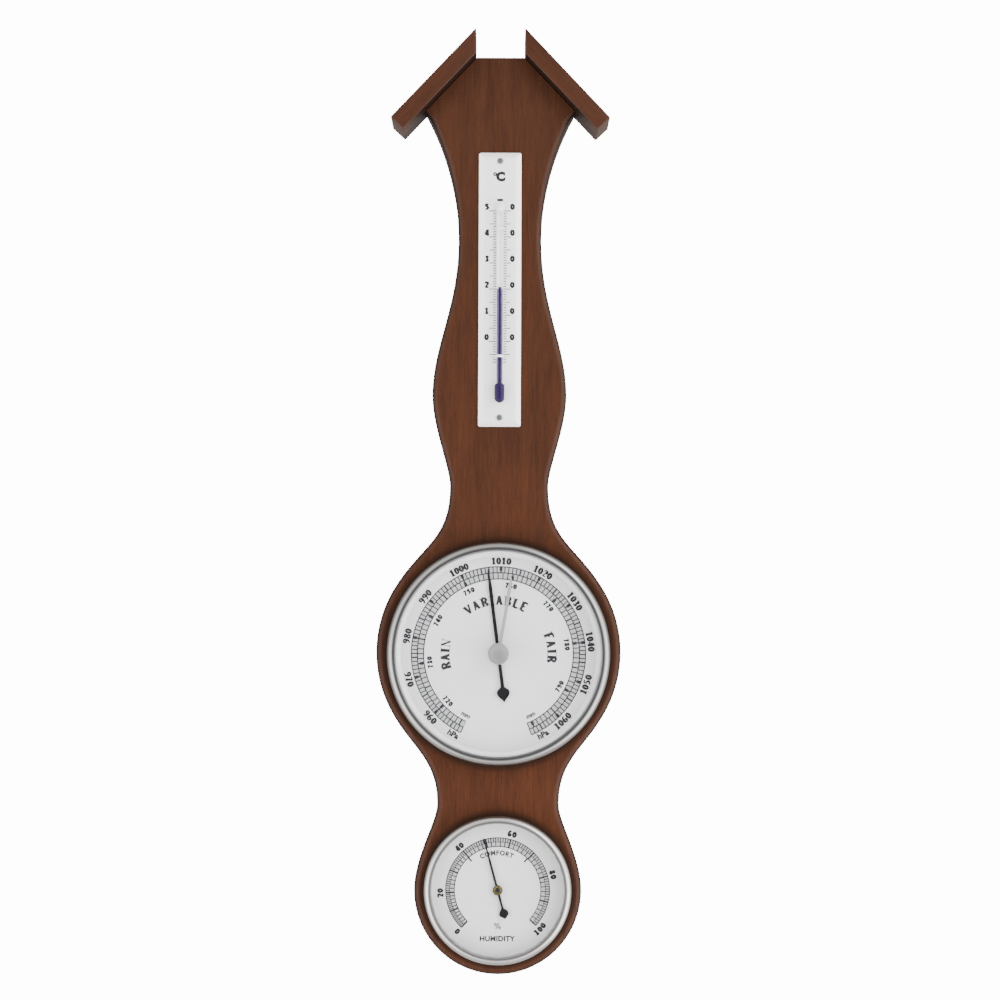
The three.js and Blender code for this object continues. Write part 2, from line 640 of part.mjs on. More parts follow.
function makeBarometer(parent) {
  const stack = depthStack(spacerHeight, barometerGlass, barometerCaseWall);
  const adjusterPlace = [0, -springFootDrop];
  const screwPlaces = [90, 210, 330].map((turn) =>
    [movementScrewCircle * Math.cos(rad(turn)), movementScrewCircle * Math.sin(rad(turn))]);
  makeCase(parent, 'barometer_case', {
    bore: barometerBore, wall: barometerCaseWall, floor: barometerCaseFloor, flange: barometerFlange, stack,
    holes: [[...adjusterPlace, adjusterRadius + pinGap],
      ...screwPlaces.map((place) => [...place, movementScrewRadius + pinGap])],
  });
  makeBezel(parent, 'barometer_bezel', {
    outer: barometerBezelRadius, opening: barometerOpening, flange: barometerFlange, lip: barometerLip,
    glassRadius: barometerDialRadius, roll: barometerBezelRoll, stack, wall: barometerCaseWall,
  });

  const dialHole = arborRadius + dialHoleGap;
  piece(parent, 'barometer_dial',
    ring(dialHole, barometerDialRadius, stack.dialBack, stack.dialFront, largeRound), 'dialSilver');
  const spacerFront = stack.glassBack - seatGap;
  piece(parent, 'barometer_spacer_ring', turned([
    [spacerInner, stack.spacerBack], [barometerDialRadius, stack.spacerBack],
    [barometerDialRadius, spacerFront], [barometerOpening - seatGap, spacerFront],
  ], largeRound), 'white');
  const glassFront = stack.glassBack + barometerGlass;
  piece(parent, 'barometer_glass',
    ring(knobStem + 2 * pinGap, barometerDialRadius, stack.glassBack, glassFront, mediumRound), 'glass');

  const pointerBack = stack.dialFront + pointerLift;
  const pointerFront = pointerBack + pointerThickness;
  const pointer = piece(parent, 'barometer_pointer', pointerBlade({
    tip: barometerPointerTip, taper: barometerPointerTaper, tail: barometerPointerTail,
    spadeStart: barometerSpadeStart, spadeWide: barometerSpadeWide, spadeHalf: barometerSpadeHalf,
    half: barometerPointerHalf, hub: barometerPointerHub, hole: arborRadius + pinGap,
  }, pointerBack, pointerFront), 'black');
  pointer.rotation.y = rad(barometerReading);

  // The set hand hangs under the glass on the stem of its knob, with a washer between hand and glass
  const washerFront = stack.glassBack - seatGap;
  const washerBack = washerFront - washerThickness;
  const handFront = washerBack - seatGap;
  const handBack = handFront - pointerThickness;
  const handShape = polygon([
    [-setHandHalf, 0], [setHandHalf, 0], [setHandHalf, setHandTip - setHandPoint], [0, setHandTip],
    [-setHandHalf, setHandTip - setHandPoint],
  ]);
  const hand = piece(parent, 'set_hand', cut(
    join(plate(handShape, handBack, handFront), disc(setHandHub, handBack, handFront, smallRound)),
    disc(knobStem + pinGap, handBack - past, handFront + past, tinyRound),
  ), 'silver');
  hand.rotation.y = rad(setHandAngle);
  piece(parent, 'set_hand_washer', ring(
    knobStem + pinGap, washerRadius, washerBack, washerFront, smallRound), 'brass');
  const knobBack = glassFront + seatGap;
  const knobFront = knobBack + knobHeight;
  piece(parent, 'set_knob', turned([
    [0, handBack - seatGap], [knobStem, handBack - seatGap], [knobStem, knobBack],
    [knobRadius - knobEase, knobBack], [knobRadius, knobBack + knobEase], [knobRadius, knobFront - knobEase],
    [knobRadius - knobEase, knobFront], [0, knobFront],
  ], knobRound), 'silver');

  makeMovement(parent, screwPlaces, adjusterPlace, stack.dialBack, pointerFront + arborProud);
}

function makeMovement(parent, screwPlaces, adjusterPlace, dialBack, arborFront) {
  const plateBack = barometerCaseFloor + barometerCaseWall + seatGap;
  const plateTop = plateBack + movementPlateThickness;
  const onPlate = plateTop + seatGap;
  const drilled = [
    ...screwPlaces.map(([x, z]) => [x, z, movementScrewRadius + pinGap]),
    [...adjusterPlace, adjusterRadius + pinGap],
  ].map(([x, z, radius]) => disc(radius, plateBack - past, plateTop + past, tinyRound).translate(x, 0, z));
  const basePlate = disc(movementPlateRadius, plateBack, plateTop, mediumRound);
  piece(parent, 'movement_plate', cut(basePlate, ...drilled), 'brass');
  const headFront = barometerCaseFloor - seatGap;
  const screwBack = headFront - movementScrewHeadThickness;
  screwPlaces.forEach(([x, z], i) => {
    const screw = piece(parent, `movement_screw_${i + 1}`, turned([
      [0, screwBack], [movementScrewHead, screwBack], [movementScrewHead, headFront],
      [movementScrewRadius, headFront], [movementScrewRadius, plateTop], [0, plateTop],
    ], tinyRound), 'steel');
    screw.position.set(x, 0, z);
  });

  // The vacuum capsule, with its ripples, and the post that the spring pulls it open by
  const capsuleTop = onPlate + capsuleHeight;
  const waves = 3;
  const [rippleStart, rippleEnd] = [0.3, 0.92]; // as shares of the capsule's radius
  const ripple = (face, inward) => Array.from({ length: 2 * waves + 1 }, (_, i) => {
    const share = rippleEnd - ((rippleEnd - rippleStart) * i) / (2 * waves);
    return [capsuleRadius * share, face + (i % 2 ? inward : 0)];
  });
  const rimMiddle = onPlate + capsuleHeight / 2;
  const capsule = piece(parent, 'aneroid_capsule', turned([
    [0, onPlate], ...ripple(onPlate, capsuleRipple).reverse(), [capsuleRadius, rimMiddle - capsuleRim / 2],
    [capsuleRadius, rimMiddle + capsuleRim / 2], ...ripple(capsuleTop, -capsuleRipple), [0, capsuleTop],
  ], capsuleRound), 'brass');
  capsule.position.z = -capsuleDrop;
  const springBack = capsuleTop + springRise;
  const springTop = springBack + springThickness;
  const postHeadBack = springTop + seatGap;
  const postFront = postHeadBack + postHeadThickness;
  const post = piece(parent, 'capsule_post', turned([
    [0, capsuleTop + seatGap], [postRadius, capsuleTop + seatGap], [postRadius, postHeadBack],
    [postHead, postHeadBack], [postHead, postFront], [0, postFront],
  ], smallRound), 'steel');
  post.position.z = -capsuleDrop;

  // The leaf spring over the capsule, on a block that the adjusting screw tilts
  const blockTop = onPlate + springBlockHeight;
  const footBack = blockTop + seatGap;
  const footTop = footBack + springThickness;
  const footLow = -springFootDrop - springFootLength / 2;
  const footHigh = -springFootDrop + springFootLength / 2;
  const springEnd = -capsuleDrop + postHead + springPast;
  const springLeaf = barAcross([
    [footLow, footBack], [footHigh, footBack], [footHigh + springBend, springBack], [springEnd, springBack],
    [springEnd, springTop], [footHigh + springBend - springThickness, springTop],
    [footHigh - springThickness, footTop], [footLow, footTop],
  ], -springHalfWidth, springHalfWidth);
  const postHole = disc(postRadius + 2 * pinGap, springBack - past, springTop + past, smallRound);
  piece(parent, 'main_spring', cut(springLeaf, postHole.translate(0, 0, -capsuleDrop)), 'steel');
  const adjusterTip = blockTop - adjusterTipCover;
  const adjusterHole = disc(adjusterRadius + pinGap, onPlate - past, adjusterTip + seatGap, tinyRound);
  piece(parent, 'spring_block', cut(
    block(-springHalfWidth, springHalfWidth, footLow, footHigh, onPlate, blockTop),
    adjusterHole.translate(adjusterPlace[0], 0, adjusterPlace[1]),
  ), 'brass');
  const adjusterBack = headFront - adjusterHeadThickness;
  const slotReach = adjusterHead + past;
  const slotFloor = adjusterBack + adjusterSlotDepth;
  const slot = block(
    -adjusterSlotHalf, adjusterSlotHalf, -slotReach, slotReach, adjusterBack - past, slotFloor);
  const adjuster = piece(parent, 'adjusting_screw', cut(turned([
    [0, adjusterBack], [adjusterHead, adjusterBack], [adjusterHead, headFront], [adjusterRadius, headFront],
    [adjusterRadius, adjusterTip], [0, adjusterTip],
  ], smallRound), slot), 'brass');
  adjuster.position.set(adjusterPlace[0], 0, adjusterPlace[1]);

  // The lever on the spring's free end, and the pin at its tip that lifts the rocking shaft's short arm
  const shaftDepth = onPlate + shaftRise;
  const leverBack = springTop + seatGap;
  const leverFront = leverBack + leverThickness;
  const leverStart = springEnd - leverLap;
  const footLeft = -springHalfWidth + leverArmHalf;
  const [armLeft, armRight] = [leverSide - leverArmHalf, leverSide + leverArmHalf];
  const leverPlate = plate(polygon([
    [footLeft, leverStart], [armRight, leverStart + leverLap], [armRight, leverTip + leverArmHalf],
    [armLeft, leverTip + leverArmHalf], [armLeft, springEnd + leverLap], [footLeft, springEnd],
  ]), leverBack, leverFront);
  const shortArmFront = shaftDepth + armThickness / 2;
  const leverPin = disc(leverPinRadius, shortArmFront + seatGap, leverFront, tinyRound);
  piece(parent, 'main_lever', join(leverPlate, leverPin.translate(leverSide, 0, leverTip)), 'brass');

  // The rocking shaft: a short arm under the lever's pin and a long arm that pulls the chain
  const cageFront = dialBack - cageToDial;
  const windowFront = cageFront - cageBar;
  const windowBack = windowFront - cageWindow;
  const cageBack = windowBack - cageBar;
  const drumBack = windowBack + drumLift;
  const drumFront = drumBack + drumLength;
  const drumMiddle = (drumBack + drumFront) / 2;
  const chainSide = drumRadius + chainGap + chainRadius;
  const acrossRod = (radius, left, right) => {
    const rod = new THREE.CylinderGeometry(radius, radius, right - left, tinyRound).rotateZ(Math.PI / 2);
    return closed(rod.translate((left + right) / 2, -shaftDepth, shaftHeight));
  };
  const longArmTop = shaftHeight + armThickness / 2;
  const longArmFoot = shaftHeight - armThickness / 2;
  piece(parent, 'rocking_shaft', join(
    acrossRod(shaftRadius, bracketLeft + bracketWall + pinGap, bracketRight - bracketWall - pinGap),
    acrossRod(pivotRadius, bracketLeft, bracketRight),
    block(leverSide - shortArmHalf, leverSide + shortArmHalf, leverTip - shortArmHalf, shaftHeight,
      shaftDepth - armThickness / 2, shortArmFront),
    block(chainSide - longArmHalf, chainSide + longArmHalf, longArmFoot, longArmTop, shaftDepth,
      drumMiddle + longArmPast),
  ), 'steel');
  const lugTop = shaftDepth + shaftRadius + bracketOver;
  const bracket = barUp([
    [bracketLeft, onPlate], [bracketRight, onPlate], [bracketRight, lugTop],
    [bracketRight - bracketWall, lugTop], [bracketRight - bracketWall, onPlate + bracketWall],
    [bracketLeft + bracketWall, onPlate + bracketWall], [bracketLeft + bracketWall, lugTop],
    [bracketLeft, lugTop],
  ], shaftHeight - bracketHalf, shaftHeight + bracketHalf);
  const bearings = acrossRod(pivotRadius + pinGap, bracketLeft - past, bracketRight + past);
  piece(parent, 'shaft_bracket', cut(bracket, bearings), 'brass');

  // The chain from the long arm to the pointer's drum
  const chainTop = longArmFoot - seatGap;
  const chain = new THREE.CylinderGeometry(chainRadius, chainRadius, chainTop, chainRound)
    .rotateX(Math.PI / 2).translate(chainSide, -drumMiddle, chainTop / 2);
  piece(parent, 'pointer_chain', closed(chain), 'steel');

  // The pointer's arbor, its cage on two pillars, and the hairspring that keeps the chain taut
  const arborBack = cageBack - seatGap;
  piece(parent, 'pointer_arbor', turned([
    [0, arborBack], [arborRadius, arborBack], [arborRadius, drumBack], [drumFlange, drumBack],
    [drumFlange, drumBack + drumFlangeThickness], [drumRadius, drumBack + drumFlangeThickness],
    [drumRadius, drumFront - drumFlangeThickness], [drumFlange, drumFront - drumFlangeThickness],
    [drumFlange, drumFront], [arborRadius, drumFront], [arborRadius, arborFront], [0, arborFront],
  ], tinyRound), 'steel');
  const hairspringBack = drumFront + hairspringLift;
  const studInner = hairspringOuter + hairspringStrip / 2 + seatGap;
  const studOuter = studInner + hairspringStud;
  const cageSection = [
    [-cageFootHalf, cageBack], [cageFootHalf, cageBack], [cageFootHalf, windowBack], [cageHalf, windowBack],
    [cageHalf, cageFront], [-cageHalf, cageFront], [-cageHalf, windowBack], [-cageFootHalf, windowBack],
  ];
  const windowHalf = cageHalf - cageBar;
  const windowSection = [
    [-windowHalf, windowBack], [windowHalf, windowBack], [windowHalf, windowFront],
    [studOuter, windowFront], [studOuter, hairspringBack], [studInner, hairspringBack],
    [studInner, windowFront], [-windowHalf, windowFront],
  ];
  const footScrewHole = (side) =>
    disc(cageScrewRadius + pinGap, cageBack - past, windowBack + past, tinyRound)
      .translate(side * pillarSide, 0, 0);
  piece(parent, 'pointer_cage', cut(
    barUp(cageSection, -cageWidthHalf, cageWidthHalf),
    barUp(windowSection, -cageWidthHalf - past, cageWidthHalf + past),
    disc(arborRadius + pinGap, cageBack - past, cageFront + past, tinyRound),
    footScrewHole(-1),
    footScrewHole(1),
  ), 'brass');
  const hairspringSteps = 12;
  piece(parent, 'hairspring', spiralStrip(
    hairspringInner, hairspringOuter, hairspringTurns, hairspringStrip, hairspringBack,
    hairspringBack + hairspringWidth, hairspringSteps), 'steel');
  const pillarTop = cageBack - seatGap;
  const footHeadBack = windowBack + seatGap;
  const footHeadFront = footHeadBack + cageScrewHeadThickness;
  const footScrewEnd = pillarTop - cageScrewLength;
  for (const [name, side] of [['left', -1], ['right', 1]]) {
    const pillar = cut(disc(pillarRadius, onPlate, pillarTop, tinyRound),
      disc(cageScrewRadius + pinGap, footScrewEnd - seatGap, pillarTop + past, tinyRound));
    piece(parent, `cage_pillar_${name}`, pillar, 'brass').position.x = side * pillarSide;
    piece(parent, `cage_screw_${name}`, turned([
      [0, footScrewEnd], [cageScrewRadius, footScrewEnd], [cageScrewRadius, footHeadBack],
      [cageScrewHead, footHeadBack], [cageScrewHead, footHeadFront], [0, footHeadFront],
    ], tinyRound), 'steel').position.x = side * pillarSide;
  }
}

function makeHygrometer(parent) {
  const stack = depthStack(hygrometerSpacerHeight, hygrometerGlass, hygrometerCaseWall);
  makeCase(parent, 'hygrometer_case', {
    bore: hygrometerBore, wall: hygrometerCaseWall, floor: hygrometerCaseFloor, flange: hygrometerFlange,
    stack,
    holes: [45, 135, 225, 315].map((turn) =>
      [ventCircle * Math.cos(rad(turn)), ventCircle * Math.sin(rad(turn)), ventRadius]),
  });
  makeBezel(parent, 'hygrometer_bezel', {
    outer: hygrometerBezelRadius, opening: hygrometerOpening, flange: hygrometerFlange, lip: hygrometerLip,
    glassRadius: hygrometerDialRadius, roll: hygrometerBezelRoll, stack, wall: hygrometerCaseWall,
  });
  const { dialBack, dialFront, glassBack } = stack;
  piece(parent, 'hygrometer_dial',
    ring(bushRadius + pinGap, hygrometerDialRadius, dialBack, dialFront, largeRound), 'dialSilver');
  piece(parent, 'hygrometer_spacer_ring', ring(
    hygrometerOpening, hygrometerDialRadius, stack.spacerBack, glassBack - seatGap, mediumRound), 'tin');
  piece(parent, 'hygrometer_glass',
    disc(hygrometerDialRadius, glassBack, glassBack + hygrometerGlass, mediumRound), 'glass');
  const bushBore = hygrometerArbor + pinGap;
  const flangeFront = dialBack - seatGap;
  const flangeBack = flangeFront - bushFlangeThickness;
  piece(parent, 'hygrometer_bush', turned([
    [bushBore, flangeBack - bushTail], [bushRadius, flangeBack - bushTail], [bushRadius, flangeBack],
    [bushFlange, flangeBack], [bushFlange, flangeFront], [bushRadius, flangeFront], [bushRadius, dialFront],
    [bushBore, dialFront],
  ], smallRound), 'brass');

  const pointerBack = dialFront + pointerLift;
  const pointerFront = pointerBack + pointerThickness;
  const pointer = piece(parent, 'hygrometer_pointer', pointerBlade({
    tip: hygrometerPointerTip, taper: hygrometerPointerTaper, tail: hygrometerPointerTail,
    spadeStart: hygrometerSpadeStart, spadeWide: hygrometerSpadeWide, spadeHalf: hygrometerSpadeHalf,
    half: hygrometerPointerHalf, hub: colletBarrel + pointerHubWidth, hole: colletBarrel + pinGap,
  }, pointerBack, pointerFront), 'black');
  pointer.rotation.y = rad(hygrometerReading);
  const colletBack = pointerBack - colletBarrelBack;
  const headBack = pointerFront + pinGap;
  const colletFront = headBack + colletHeadThickness;
  piece(parent, 'hygrometer_collet', turned([
    [bushBore, colletBack], [colletBarrel, colletBack], [colletBarrel, headBack], [colletRadius, headBack],
    [colletRadius, colletFront], [bushBore, colletFront],
  ], smallRound), 'brass');
  const onCase = hygrometerCaseFloor + hygrometerCaseWall + seatGap;
  piece(parent, 'hygrometer_arbor',
    disc(hygrometerArbor, onCase, colletFront + hygrometerArborProud, tinyRound), 'steel');

  // The humidity-sensing coil, from a collar on the arbor to a bracket on the case
  const coilBack = hygrometerCaseFloor + hygrometerCaseWall + coilLift;
  const coilFront = coilBack + coilWidth;
  const coilSteps = 14;
  const collarRadius = coilInner - coilStrip / 2 - seatGap;
  piece(parent, 'coil_collar', ring(bushBore, collarRadius, coilBack, coilFront, smallRound), 'brass');
  piece(parent, 'humidity_coil',
    spiralStrip(coilInner, coilOuter, coilTurns, coilStrip, coilBack, coilFront, coilSteps), 'brass');
  const bracketInner = coilOuter + coilStrip / 2 + seatGap;
  const bracketOuter = bracketInner + coilBracketFoot;
  const bracketBend = bracketInner + coilBracketWall;
  const footFront = onCase + coilBracketWall;
  piece(parent, 'coil_bracket', barUp([
    [bracketInner, onCase], [bracketOuter, onCase], [bracketOuter, footFront], [bracketBend, footFront],
    [bracketBend, coilFront], [bracketInner, coilFront],
  ], -coilBracketHalf, coilBracketHalf), 'tin');
}

// A path through a few stops, with one ring of a sweep at each stop
class StoppedPath extends THREE.Curve {
  constructor(stops) {
    super();
    this.stops = stops;
  }

  getPoint(t, target = new THREE.Vector3()) {
    const last = this.stops.length - 1;
    const place = THREE.MathUtils.clamp(t * last, 0, last - 1e-9);
    const i = Math.floor(place);
    return target.copy(this.stops[i]).lerp(this.stops[i + 1], place - i);
  }

  getPointAt(t, target) {
    return this.getPoint(t, target);
  }

  getTangentAt(t, target) {
    return this.getTangent(t, target);
  }
}

// A round bar along the thermometer's tube: up in front of its plate, then bent back through it
function tubeSweep(radius, bottom, end) {
  const bendSteps = 5;
  const corner = new THREE.Vector3(0, -tubeDepth, tubeEntryHeight);
  const bend = new THREE.QuadraticBezierCurve3(
    corner.clone().add(new THREE.Vector3(0, 0, -tubeBend)), corner,
    corner.clone().add(new THREE.Vector3(0, tubeBend, 0)));
  const stops = [
    new THREE.Vector3(0, -tubeDepth, bottom), ...bend.getPoints(bendSteps),
    new THREE.Vector3(0, -end, tubeEntryHeight),
  ];
  const section = new THREE.Shape();
  section.absarc(0, 0, radius, 0, 2 * Math.PI, false);
  const [steps, extrudePath, curveSegments] = [stops.length - 1, new StoppedPath(stops), tubeRound / 2];
  return closed(new THREE.ExtrudeGeometry(section, {
    steps, extrudePath, curveSegments, bevelEnabled: false,
  }));
}

// A piece turned about the tube's upright axis: its profile is [radius, height] pairs
function turnedUpright(profile) {
  const points = profile.map(([radius, height]) => new THREE.Vector2(radius, height));
  return closed(new THREE.LatheGeometry(points, tubeRound).rotateX(Math.PI / 2).translate(0, -tubeDepth, 0));
}

// The bulb's outline, drawn in by an inset and ending in a neck of a given radius
function bulbProfile(inset, neck) {
  const bottom = bulbHeight - bulbLength / 2 + inset;
  const top = bulbHeight + bulbLength / 2 - inset;
  const radius = bulbRadius - inset;
  const nose = 0.6 * bulbRadius;
  return [
    [0, bottom], [0.6 * radius, bottom + 0.2 * nose], [radius, bottom + nose], [radius, top - nose],
    [neck, top], [0, top],
  ];
}

// A strap over the tube with a foot on the plate at either side
function clipStrap(height, width) {
  const inner = tubeRadius + pinGap;
  const outer = inner + clipThickness;
  const foot = outer + clipFoot;
  const low = plateFront + seatGap;
  const high = low + clipThickness;
  const arcSteps = 8;
  const halfTurn = (radius) => Array.from({ length: arcSteps + 1 }, (_, i) =>
    [radius * Math.cos((Math.PI * i) / arcSteps), tubeDepth + radius * Math.sin((Math.PI * i) / arcSteps)]);
  return barUp([
    [foot, low], [foot, high], [outer, high], ...halfTurn(outer), [-outer, high], [-foot, high], [-foot, low],
    [-inner, low], ...halfTurn(inner).reverse(), [inner, low],
  ], height - width / 2, height + width / 2);
}

function makeThermometer(body) {
  const nailHeights = [-1, 1].map((side) => scalePlateHeight + (side * plateNailSpacing) / 2);
  const tubeHole = tubeRadius + seatGap;
  const plateBack = boardThickness + seatGap;
  const [cutBack, cutFront] = [plateBack - past, plateFront + past];
  piece(body, 'thermometer_plate', cut(
    lowFrustum(scalePlateWidth, scalePlateLength, scalePlateBevel, scalePlateEdge, scalePlateThickness)
      .translate(0, -plateBack, scalePlateHeight),
    block(-tubeHole, tubeHole, tubeEntryHeight - tubeHole, tubeEntryHeight + tubeHole, cutBack, cutFront),
    ...nailHeights.map((height) =>
      disc(plateNailShank + pinGap, cutBack, cutFront, tinyRound).translate(0, 0, height)),
  ), 'white');
  nailHeights.forEach((height, i) => {
    const under = plateFront + seatGap;
    const headEdge = under + plateNailHeadEdge;
    const point = boardThickness - plateNailLength + seatGap;
    const nail = piece(body, `plate_nail_${i ? 'upper' : 'lower'}`, turned([
      [0, point], [plateNailShank, point + plateNailPoint], [plateNailShank, under], [plateNailHead, under],
      [plateNailHead - plateNailDome, headEdge], [0, headEdge + plateNailDome],
    ], tinyRound), 'steel');
    nail.position.z = height;
  });

  const bulbTop = bulbHeight + bulbLength / 2;
  piece(body, 'thermometer_tube', cut(
    join(tubeSweep(tubeRadius, bulbHeight, legEndDepth), turnedUpright(bulbProfile(0, tubeRadius / 2))),
    tubeSweep(tubeBore, bulbHeight, legEndDepth - past),
    turnedUpright(bulbProfile(glassWall, tubeBore / 2)),
  ), 'glass');
  const spiritInset = glassWall + pinGap;
  piece(body, 'bulb_spirit', turnedUpright(bulbProfile(spiritInset, tubeBore / 2)), 'spirit');
  const columnBottom = bulbTop - spiritInset + seatGap;
  const meniscusBottom = columnTopHeight - meniscusLength;
  const columnEnd = meniscusBottom - seatGap;
  piece(body, 'spirit_column', turnedUpright([
    [0, columnBottom], [columnRadius, columnBottom], [columnRadius, columnEnd], [0, columnEnd],
  ]), 'spirit');
  piece(body, 'spirit_meniscus', turnedUpright([
    [0, meniscusBottom], [columnRadius, meniscusBottom], [columnRadius, columnTopHeight],
    [0, columnTopHeight - meniscusDip],
  ]), 'spirit');
  piece(body, 'upper_tube_clip', clipStrap(tubeEntryHeight - upperClipDrop, upperClipWidth), 'tin');
  piece(body, 'lower_tube_clip', clipStrap(bulbHeight + lowerClipRise, lowerClipWidth), 'white');
}

// A low plate with sloping sides and a level middle, its back at a depth of 0
function lowFrustum(width, length, slopeWidth, edge, thickness) {
  const corners = (inset, depth) => rectangle(
    -width / 2 + inset, -length / 2 + inset, width / 2 - inset, length / 2 - inset,
  ).flatMap(([x, z]) => [x, -depth, z]);
  const position = [...corners(0, 0), ...corners(0, edge), ...corners(slopeWidth, thickness)];
  const index = [0, 1, 2, 0, 2, 3, 8, 10, 9, 8, 11, 10];
  for (const start of [0, 4]) {
    for (let i = 0; i < 4; i += 1) {
      const [a, b] = [start + i, start + ((i + 1) % 4)];
      index.push(a, b + 4, b, a, a + 4, b + 4);
    }
  }
  const geometry = new THREE.BufferGeometry();
  geometry.setAttribute('position', new THREE.Float32BufferAttribute(position, 3));
  geometry.setIndex(index);
  return closed(geometry);
}

const weatherStation = new THREE.Group();
const hanger = groupAt(weatherStation, 0);
const body = groupAt(weatherStation, -hangerHeight);
makeBoard(body, hanger);
makeRoof(body);
makeBarometer(groupAt(body, barometerHeight));
makeHygrometer(groupAt(body, hygrometerHeight));
makeThermometer(body);

export default weatherStation;
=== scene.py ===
import math

import bmesh
import bpy
from mathutils import Matrix, Vector
from mathutils.geometry import tessellate_polygon


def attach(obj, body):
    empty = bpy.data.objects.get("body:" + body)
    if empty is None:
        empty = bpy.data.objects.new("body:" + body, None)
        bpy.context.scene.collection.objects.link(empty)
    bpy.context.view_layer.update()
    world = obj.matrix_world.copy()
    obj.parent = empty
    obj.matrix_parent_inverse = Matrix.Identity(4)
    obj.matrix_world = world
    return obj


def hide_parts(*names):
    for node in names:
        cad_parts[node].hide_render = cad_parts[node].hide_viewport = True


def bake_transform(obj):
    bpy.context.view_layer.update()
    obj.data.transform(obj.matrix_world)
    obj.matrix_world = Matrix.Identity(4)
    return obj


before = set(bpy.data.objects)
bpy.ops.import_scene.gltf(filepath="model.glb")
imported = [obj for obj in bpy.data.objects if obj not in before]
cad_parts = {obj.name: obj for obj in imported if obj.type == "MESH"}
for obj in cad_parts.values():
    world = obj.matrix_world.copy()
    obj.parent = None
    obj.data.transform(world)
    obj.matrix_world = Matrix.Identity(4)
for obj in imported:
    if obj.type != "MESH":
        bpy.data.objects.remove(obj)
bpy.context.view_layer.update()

# The camera stands 1.2 m in front of the board, level with the large lobe's centre. It looks up a
# little, so that the whole board fits the picture, and leans a fifth of a degree.
camera_data = bpy.data.cameras.new("camera")
camera_data.sensor_width = 36
camera_data.lens = 93.06
camera = bpy.data.objects.new("camera", camera_data)
camera.location = (0.00045, -1.218, -0.258)
tilt = Matrix.Rotation(math.radians(93.365), 3, "X") @ Matrix.Rotation(math.radians(0.21), 3, "Z")
camera.rotation_euler = tilt.to_euler()
bpy.context.scene.collection.objects.link(camera)
bpy.context.scene.camera = camera


# The room: a white surround that the camera sees as paper white, and that lights the piece more
# gently, over a pale matt floor well below the board.
def node(tree, kind, wires=None, **settings):
    made = tree.nodes.new(kind)
    for name, value in settings.items():
        setattr(made, name, value)
    for socket, value in (wires or {}).items():
        if isinstance(value, bpy.types.NodeSocket):
            tree.links.new(value, made.inputs[socket])
        else:
            made.inputs[socket].default_value = value
    return made


def tint(red, green, blue):
    """A colour as it is seen on a screen, 0 to 255, in the shader's linear numbers."""
    linear = [c / 12.92 if c <= 0.04045 else ((c + 0.055) / 1.055) ** 2.4 for c in (red / 255, green / 255, blue / 255)]
    return (*linear, 1.0)


world = bpy.data.worlds.new("surround")
bpy.context.scene.world = world
world.use_nodes = True
world.node_tree.nodes.clear()
heading = node(world.node_tree, "ShaderNodeSeparateXYZ", {
    0: node(world.node_tree, "ShaderNodeTexCoord").outputs["Generated"]})
off_axis = node(world.node_tree, "ShaderNodeMapRange", {
    "Value": heading.outputs["Y"], "From Min": -0.97, "From Max": -0.76, "To Min": 0.05}, interpolation_type="SMOOTHSTEP")
from_behind = node(world.node_tree, "ShaderNodeMapRange", {
    "Value": heading.outputs["Y"], "From Min": -0.3, "From Max": 0.2, "To Min": 1.0, "To Max": 0.15})
from_right = node(world.node_tree, "ShaderNodeMapRange", {
    "Value": heading.outputs["X"], "From Min": -1.0, "From Max": 1.0, "To Min": 0.76, "To Max": 1.24})
from_above = node(world.node_tree, "ShaderNodeMapRange", {
    "Value": heading.outputs["Z"], "From Min": -0.9, "From Max": 0.9, "To Min": 1.35, "To Max": 0.45})
glow = node(world.node_tree, "ShaderNodeMath", {
    0: off_axis.outputs[0], 1: from_behind.outputs[0]}, operation="MULTIPLY")
sideways = node(world.node_tree, "ShaderNodeMath", {0: heading.outputs["X"]}, operation="ABSOLUTE")
from_sides = node(world.node_tree, "ShaderNodeMapRange", {
    "Value": sideways.outputs[0], "To Min": 0.65, "To Max": 1.35})
leaning = node(world.node_tree, "ShaderNodeMath", {
    0: from_right.outputs[0], 1: from_above.outputs[0]}, operation="MULTIPLY")
boxed = node(world.node_tree, "ShaderNodeMath", {
    0: leaning.outputs[0], 1: from_sides.outputs[0]}, operation="MULTIPLY")
shaped = node(world.node_tree, "ShaderNodeMath", {0: glow.outputs[0], 1: boxed.outputs[0]}, operation="MULTIPLY")
strength = node(world.node_tree, "ShaderNodeMath", {0: shaped.outputs[0], 1: 4.6}, operation="MULTIPLY")
room_light = node(world.node_tree, "ShaderNodeBackground", {
    "Color": (1.0, 0.99, 0.98, 1.0), "Strength": strength.outputs[0]})
paper_white = node(world.node_tree, "ShaderNodeBackground", {"Color": (1.0, 1.0, 1.0, 1.0), "Strength": 14.0})
seen = node(world.node_tree, "ShaderNodeLightPath")
surround = node(world.node_tree, "ShaderNodeMixShader", {
    0: seen.outputs["Is Camera Ray"], 1: room_light.outputs[0], 2: paper_white.outputs[0]})
node(world.node_tree, "ShaderNodeOutputWorld", {"Surface": surround.outputs[0]})

board_middle = Vector((0.0, 0.0, -0.19))
for name, spot, size, power in [
    ("key_light", (1.3, -1.5, 1.1), 1.4, 22.0),
    ("fill_light", (-1.6, -1.5, -0.6), 1.4, 10.0),
]:
    lamp_data = bpy.data.lights.new(name, "AREA")
    lamp_data.shape = "DISK"
    lamp_data.size = size
    lamp_data.energy = power
    lamp = bpy.data.objects.new(name, lamp_data)
    lamp.location = spot
    lamp.rotation_euler = (board_middle - Vector(spot)).to_track_quat("-Z", "Y").to_euler()
    bpy.context.scene.collection.objects.link(lamp)

